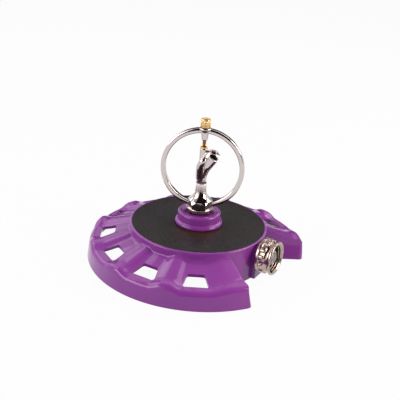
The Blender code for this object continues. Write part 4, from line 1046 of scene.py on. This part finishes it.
profile = [(neck_fit, sleeve_foot), (sleeve_radius, sleeve_foot)]
profile += rounding(
    (sleeve_radius - sleeve_round, sleeve_top - sleeve_round), sleeve_round, 0, 90, 4)
profile += [(sleeve_bore, sleeve_top), (sleeve_bore, neck_fit_top), (neck_fit, neck_fit_top)]
sleeve = mesh_piece("bearing_bush", turn_profile(profile, 64), blasted_nickel, "base")
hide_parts("bearing_sleeve")


# Spinner tube
# The jet that spins: one casting of zinc, chrome plated. Its stem bends into a tube that
# points up and out, a knuckle leans out of the elbow, a hood curves over the tube's mouth, and
# a pivot boss stands on top.
spinner_turn = Matrix.Rotation(math.radians(-36), 4, "Z")
spinner_foot = 0.0743
spinner_top = 0.1065
stem_radius = 0.0040
stem_bore = 0.0022
elbow_radius = 0.0053
elbow_bore = 0.0030
elbow_rise = 0.0110
elbow_reach = 0.0075
flatness = 0.45
jet_radius = 0.0052
jet_bore = 0.0039
jet_tilt = 56
jet_length = 0.0172
hood_line = ((-0.0003, 0.0095), (0.0050, 0.0300), (0.0144, 0.0252))
hood_foot = 0.0048
hood_radius = 0.0070
hood_wall = 0.0021
hood_ridge = 1.25
hood_narrowing = 0.86
hollow_start = 0.52
hollow_depth = 0.012
boss_radius = 0.0036
boss_length = 0.0135
boss_round = 0.0005
spigot_foot = 0.0681
spigot_top = spinner_foot + 0.0027
spigot_radius = 0.0034
bore_foot = 0.0661
bush_hole = 0.0028
bush_seat = 0.1012

# The elbow's swell and its knuckle, as (rise above the foot, radius, along, sideways).
swell = (
    (0, 0.0040, -0.0003, 0), (0.0040, 0.0046, -0.0003, 0), (0.0080, 0.0053, -0.0002, 0),
    (0.0115, 0.0058, 0.0001, 0), (0.0140, 0.0061, 0.0004, 0), (0.0165, 0.0061, 0.0011, 0),
    (0.0190, 0.0055, 0.0021, 0), (0.0208, 0.0042, 0.0030, 0))
knuckle = (
    (0.0004, 0.0032, -0.0008, -0.0003), (0.0040, 0.0039, -0.0013, -0.0015),
    (0.0080, 0.0040, -0.0010, -0.0027), (0.0115, 0.0040, -0.0006, -0.0038),
    (0.0145, 0.0040, -0.0002, -0.0048), (0.0175, 0.0038, 0.0004, -0.0057),
    (0.0200, 0.0036, 0.0013, -0.0064), (0.0222, 0.0034, 0.0022, -0.0067),
    (0.0240, 0.0030, 0.0029, -0.0066), (0.0252, 0.0022, 0.0032, -0.0060),
    (0.0260, 0.0011, 0.0033, -0.0052))


def pointed(tilt):
    """The direction at a tilt above level, in the spinner's own plane."""
    return Vector((math.cos(math.radians(tilt)), math.sin(math.radians(tilt))))


def swept(stations):
    """Loft a solid along stations of (place, direction, outline of (across, sideways))."""
    rings = []
    for place, direction, outline in stations:
        lean = Vector((direction.y, -direction.x))
        rings.append([(place.x + lean.x * a, b, place.y + lean.y * a) for a, b in outline])
    return lofted(rings)


def pressed(value, power):
    """A signed power, which squares a circle's outline below 1 and points it above 1."""
    return math.copysign(abs(value) ** power, value)


def flattened(radius, flat):
    """A round outline whose sides and edges press out towards a square as flat grows."""
    power = 1 / (1 + flat)
    outline = rounding((0, 0), 1, 0, 360, 64)[:-1]
    return [(radius * pressed(a, power), radius * pressed(b, power)) for a, b in outline]


def bent_tube(radii, foot, past):
    """The stations of the tube: up the stem, round the elbow and out through the mouth. It
    swells as it rises, and its two sides go flat."""
    stem, elbow, mouth = radii
    corner = Vector((0.0002, spinner_foot + elbow_rise))
    up = pointed(90)
    out = pointed(jet_tilt)
    stations = [(Vector((0, foot)), up, stem, 0), (Vector((0, spinner_foot)), up, stem, 0)]
    for share in evenly(12):
        first = (corner - up * elbow_reach).lerp(corner, share)
        second = corner.lerp(corner + out * elbow_reach, share)
        radius = stem + (elbow - stem) * (0.22 + 0.78 * share)
        way = pointed(90 + (jet_tilt - 90) * share)
        flat = flatness * max(0, 2 * share - 1)
        stations.append((first.lerp(second, share), way, radius, flat))
    end = corner + out * jet_length
    stations += [(end, out, mouth, flatness), (end + out * past, out, mouth, flatness)]
    return [(place, way, flattened(r, flat)) for place, way, r, flat in stations]


def lobe(stations):
    """A round solid that leans as it rises, through the stations of a swell or a knuckle."""
    return swept([
        (Vector((along, spinner_foot + rise)), pointed(90),
         [(a, b + sideways) for a, b in flattened(radius, 0)])
        for rise, radius, along, sideways in stations])


def hood_path(first, last, steps):
    """The hood's middle line between two shares of its curve, as (share, place, direction)."""
    start, bend, end = [Vector((along, spinner_foot + rise)) for along, rise in hood_line]
    shares = [first + (last - first) * i / steps for i in range(steps + 1)]
    return [(t, bowed(start, bend, end, t), pointed(84 - 64 * t)) for t in shares]


def hood_arc(share, wall):
    """The hood's outline at a share of its curve, over its crown, inside a wall. Its crown comes
    to a blunt ridge, and its near side is cut back towards the mouth."""
    radius = hood_foot + (hood_radius - hood_foot) * min(share / 0.40, 1) - wall
    cut = min(max((share - 0.45) / 0.4, 0), 1)
    near = 86 - 34 * cut * cut * (3 - 2 * cut)
    return [(radius * pressed(a, hood_ridge), radius * hood_narrowing * pressed(b, hood_ridge))
            for a, b in rounding((0, 0), 1, 94, 180 + near, 28)]


hood = swept([(place, way, hood_arc(t, 0)) for t, place, way in hood_path(0, 1, 30)])
hollow = []
for t, place, way in hood_path(hollow_start, 1.04, 16):
    arch = hood_arc(min(t, 1), hood_wall)
    mouth = [(hollow_depth, arch[-1][1]), (hollow_depth, arch[0][1])]
    hollow.append((place, way, arch + mouth))
tube = bent_tube((stem_radius, elbow_radius, jet_radius), spinner_foot - 0.0001, 0.0003)
bore = bent_tube((stem_bore, elbow_bore, jet_bore), bore_foot, 0.0020)
boss = [(0, spinner_top - boss_length), (boss_radius, spinner_top - boss_length)]
boss += rounding((boss_radius - boss_round, spinner_top - boss_round), boss_round, 0, 90, 4)
boss += [(0, spinner_top)]
spigot = [(0, spigot_foot), (spigot_radius, spigot_foot), (spigot_radius, spigot_top),
          (0, spigot_top)]
shape = joined(hood, swept(hollow), "DIFFERENCE")
for part in (swept(tube), lobe(swell), lobe(knuckle), turn_profile(boss, 64),
             turn_profile(spigot, 64)):
    shape = joined(shape, part, "UNION")
shape = joined(shape, swept(bore), "DIFFERENCE")

# The casting's corners are soft all over, so the shape is remeshed and its corners worn down.
held = loose_object(shape)
cast = held.modifiers.new("cast", "REMESH")
cast.mode = "VOXEL"
cast.voxel_size = 0.00022
worn = held.modifiers.new("worn", "SMOOTH")
worn.factor = 0.5
worn.iterations = 20
shape = baked(held)
socket = [(0, bush_seat), (bush_hole, bush_seat), (bush_hole, spinner_top + 0.0015),
          (0, spinner_top + 0.0015)]
shape = joined(shape, turn_profile(socket, 48), "DIFFERENCE")
bmesh.ops.transform(shape, matrix=spinner_turn, verts=shape.verts)
spinner = mesh_piece("spinner_casting", shape, chrome, "rotor")
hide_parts("spinner_tube")
wear("pivot_bush", brass)


# Pivot screw
# The screw that the spinner turns under: turned brass, with a straight knurl round its head
# for the fingers, a thread through the ring's boss, and a plain pin down to the spinner.
pin_tip = 0.1029
pin_radius = 0.0017
screw_radius = 0.0019
head_foot = 0.1259
head_top = 0.1335
head_radius = 0.0043
rib_count = 36
rib_radius = 0.0002
profile = [(0, pin_tip), (0.0010, pin_tip), (pin_radius, pin_tip + 0.0007)]
profile += [(pin_radius, pivot_boss_foot), (screw_radius, pivot_boss_foot)]
profile += [(screw_radius, head_foot), (0.0038, head_foot)]
profile += rounding((head_radius - 0.0004, head_foot + 0.0004), 0.0004, 270, 360, 4)
profile += rounding((head_radius - 0.0005, head_top - 0.0005), 0.0005, 0, 90, 5)
profile += [(0.0030, head_top), (0.0028, head_top - 0.0002), (0, head_top - 0.0003)]
screw = mesh_piece("pivot_pin", turn_profile(profile, 72), brass, "pivot")
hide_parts("pivot_screw")

tree, size = new_geometry("head knurl", {
    "Ribs": ("NodeSocketInt", rib_count),
    "Radius": ("NodeSocketFloat", head_radius),
    "Rib Radius": ("NodeSocketFloat", rib_radius),
    "Rib Length": ("NodeSocketFloat", head_top - head_foot - 0.0014),
})
spots = add_node(tree, "GeometryNodeMeshCircle", {}, {
    "Vertices": size["Ribs"], "Radius": size["Radius"]})
rib = add_node(tree, "GeometryNodeMeshCylinder", {}, {
    "Vertices": 8, "Radius": size["Rib Radius"], "Depth": size["Rib Length"]})
knurl = add_node(tree, "GeometryNodeInstanceOnPoints", {}, {
    "Points": spots.outputs["Mesh"], "Instance": rib.outputs["Mesh"]})
shape = grow("knurl", tree, knurl.outputs["Instances"], brass)
bmesh.ops.translate(shape, vec=(0, 0, (head_foot + head_top) / 2), verts=shape.verts)
ribs = mesh_piece("head_knurl", shape, brass, "pivot")
wear("pivot_o_ring", rubber)


# Floor
# The photographer's sweep: matt white card, lit so that it runs into the white behind it and
# keeps only a faint shadow under the base. It starts a little in front of the base.
floor_front = 0.45
floor_reach = 4
card, tree, shader, place = mottled(
    "white_card", {"Scale": 300, "Detail": 3}, ("#D5D2D1", "#DCDAD9"), 0.9)
ray = add_node(tree, "ShaderNodeLightPath")
mirrored = add_node(tree, "ShaderNodeMath", {"operation": "MAXIMUM"}, {
    0: ray.outputs["Is Glossy Ray"], 1: ray.outputs["Is Transmission Ray"]})
seen = add_node(tree, "ShaderNodeMath", {"operation": "MAXIMUM"}, {
    0: ray.outputs["Is Camera Ray"], 1: mirrored.outputs[0]})
shown = add_node(tree, "ShaderNodeMath", {"operation": "MULTIPLY"}, {0: seen.outputs[0], 1: 0.95})
white = add_node(tree, "ShaderNodeEmission", {}, {"Color": (1, 1, 1, 1), "Strength": 1.0})
blend = add_node(tree, "ShaderNodeMixShader", {}, {
    0: shown.outputs[0], 1: shader.outputs["BSDF"], 2: white.outputs["Emission"]})
tree.links.new(blend.outputs["Shader"], tree.nodes["Material Output"].inputs["Surface"])

shape = bmesh.new()
corners = ((-floor_reach, -floor_front), (floor_reach, -floor_front),
           (floor_reach, floor_reach), (-floor_reach, floor_reach))
shape.faces.new([shape.verts.new(photo_turn @ Vector((x, y, 0))) for x, y in corners])
mesh = bpy.data.meshes.new("floor")
shape.to_mesh(mesh)
shape.free()
mesh.materials.append(card)
floor = linked("floor", mesh)


# Light
# A white studio: an even sky for matt surfaces, and for polished ones a white room. The room's
# dark opening behind the camera, low dark strip behind the object and grey ceiling draw the
# dark lines on the chrome.
sky_tint = (0.35, 0.38, 0.45, 1)
opening_middle = 0.18
strip_middle = 0.12
world = bpy.data.worlds.new("studio")
bpy.context.scene.world = world
world.use_nodes = True
tree = world.node_tree
direction = add_node(tree, "ShaderNodeTexCoord").outputs["Generated"]
facing, across = [
    add_node(tree, "ShaderNodeVectorMath", {"operation": "DOT_PRODUCT"}, {
        0: direction, 1: photo_turn @ Vector(axis)}).outputs["Value"]
    for axis in ((0, -1, 0), (1, 0, 0))]
height = add_node(tree, "ShaderNodeSeparateXYZ", {}, {"Vector": direction}).outputs["Z"]
off_middle = []
for middle in (opening_middle, strip_middle):
    shifted = add_node(tree, "ShaderNodeMath", {"operation": "SUBTRACT"}, {0: across, 1: middle})
    off_middle.append(add_node(tree, "ShaderNodeMath", {"operation": "ABSOLUTE"}, {
        0: shifted.outputs[0]}).outputs[0])

# Each part of the room is where a direction faces the camera, goes across or rises by so much.
in_front, in_opening, behind, in_strip, low, overhead = [
    add_node(tree, "ShaderNodeMapRange", {"interpolation_type": "SMOOTHSTEP"}, {
        "Value": value, "From Min": starts, "From Max": full}).outputs["Result"]
    for value, starts, full in (
        (facing, -0.20, 0.0), (off_middle[0], 0.66, 0.58), (facing, -0.72, -0.80),
        (off_middle[1], 0.50, 0.40), (height, 0.44, 0.36), (height, 0.55, 0.85))]
behind_camera = add_node(tree, "ShaderNodeMath", {"operation": "MULTIPLY"}, {
    0: in_front, 1: in_opening})
strip = add_node(tree, "ShaderNodeMath", {"operation": "MULTIPLY"}, {0: behind, 1: in_strip})
behind_object = add_node(tree, "ShaderNodeMath", {"operation": "MULTIPLY"}, {
    0: strip.outputs[0], 1: low})
dark = add_node(tree, "ShaderNodeMath", {"operation": "MAXIMUM"}, {
    0: behind_camera.outputs[0], 1: behind_object.outputs[0]})
walls = add_node(tree, "ShaderNodeMixRGB", {}, {
    "Fac": overhead, "Color1": (1, 1, 1, 1), "Color2": tone("#B8B0B2")})
room = add_node(tree, "ShaderNodeMixRGB", {}, {
    "Fac": dark.outputs[0], "Color1": walls.outputs["Color"], "Color2": tone("#1E1817")})
ray = add_node(tree, "ShaderNodeLightPath")
lit = add_node(tree, "ShaderNodeMixRGB", {}, {
    "Fac": ray.outputs["Is Glossy Ray"], "Color1": sky_tint, "Color2": room.outputs["Color"]})
seen = add_node(tree, "ShaderNodeMath", {"operation": "MAXIMUM"}, {
    0: ray.outputs["Is Camera Ray"], 1: ray.outputs["Is Transmission Ray"]})
sky = add_node(tree, "ShaderNodeMixRGB", {}, {
    "Fac": seen.outputs[0], "Color1": lit.outputs["Color"], "Color2": (1, 1, 1, 1)})
tree.links.new(sky.outputs["Color"], tree.nodes["Background"].inputs["Color"])

# Four soft lamps: at degrees round from the camera, then height, distance and width in metres,
# watts and a tint.
lamp_target = Vector((0, 0, 0.05))
for name, side, lamp_height, distance, width, watts, tint in (
        ("key", 74, 0.60, 1.05, 0.6, 11, "#FFE6E2"),
        ("fill", -66, 0.60, 1.05, 0.7, 8, "#FFE8F0"),
        ("back_right", 128, 0.9, 0.95, 0.8, 5, "#FFF0F4"),
        ("back_left", -122, 0.9, 0.95, 0.8, 4, "#FFF0F4")):
    lamp = bpy.data.lights.new(name, "AREA")
    lamp.shape = "SQUARE"
    lamp.size = width
    lamp.energy = watts
    lamp.color = tone(tint)[:3]
    place = photo_turn @ Matrix.Rotation(math.radians(side), 3, "Z") @ Vector((0, -distance, 0))
    place.z = lamp_height
    aim = (lamp_target - place).to_track_quat("-Z", "Y").to_matrix().to_4x4()
    linked(name, lamp).matrix_world = Matrix.Translation(place) @ aim

bpy.context.scene.view_settings.view_transform = "Standard"
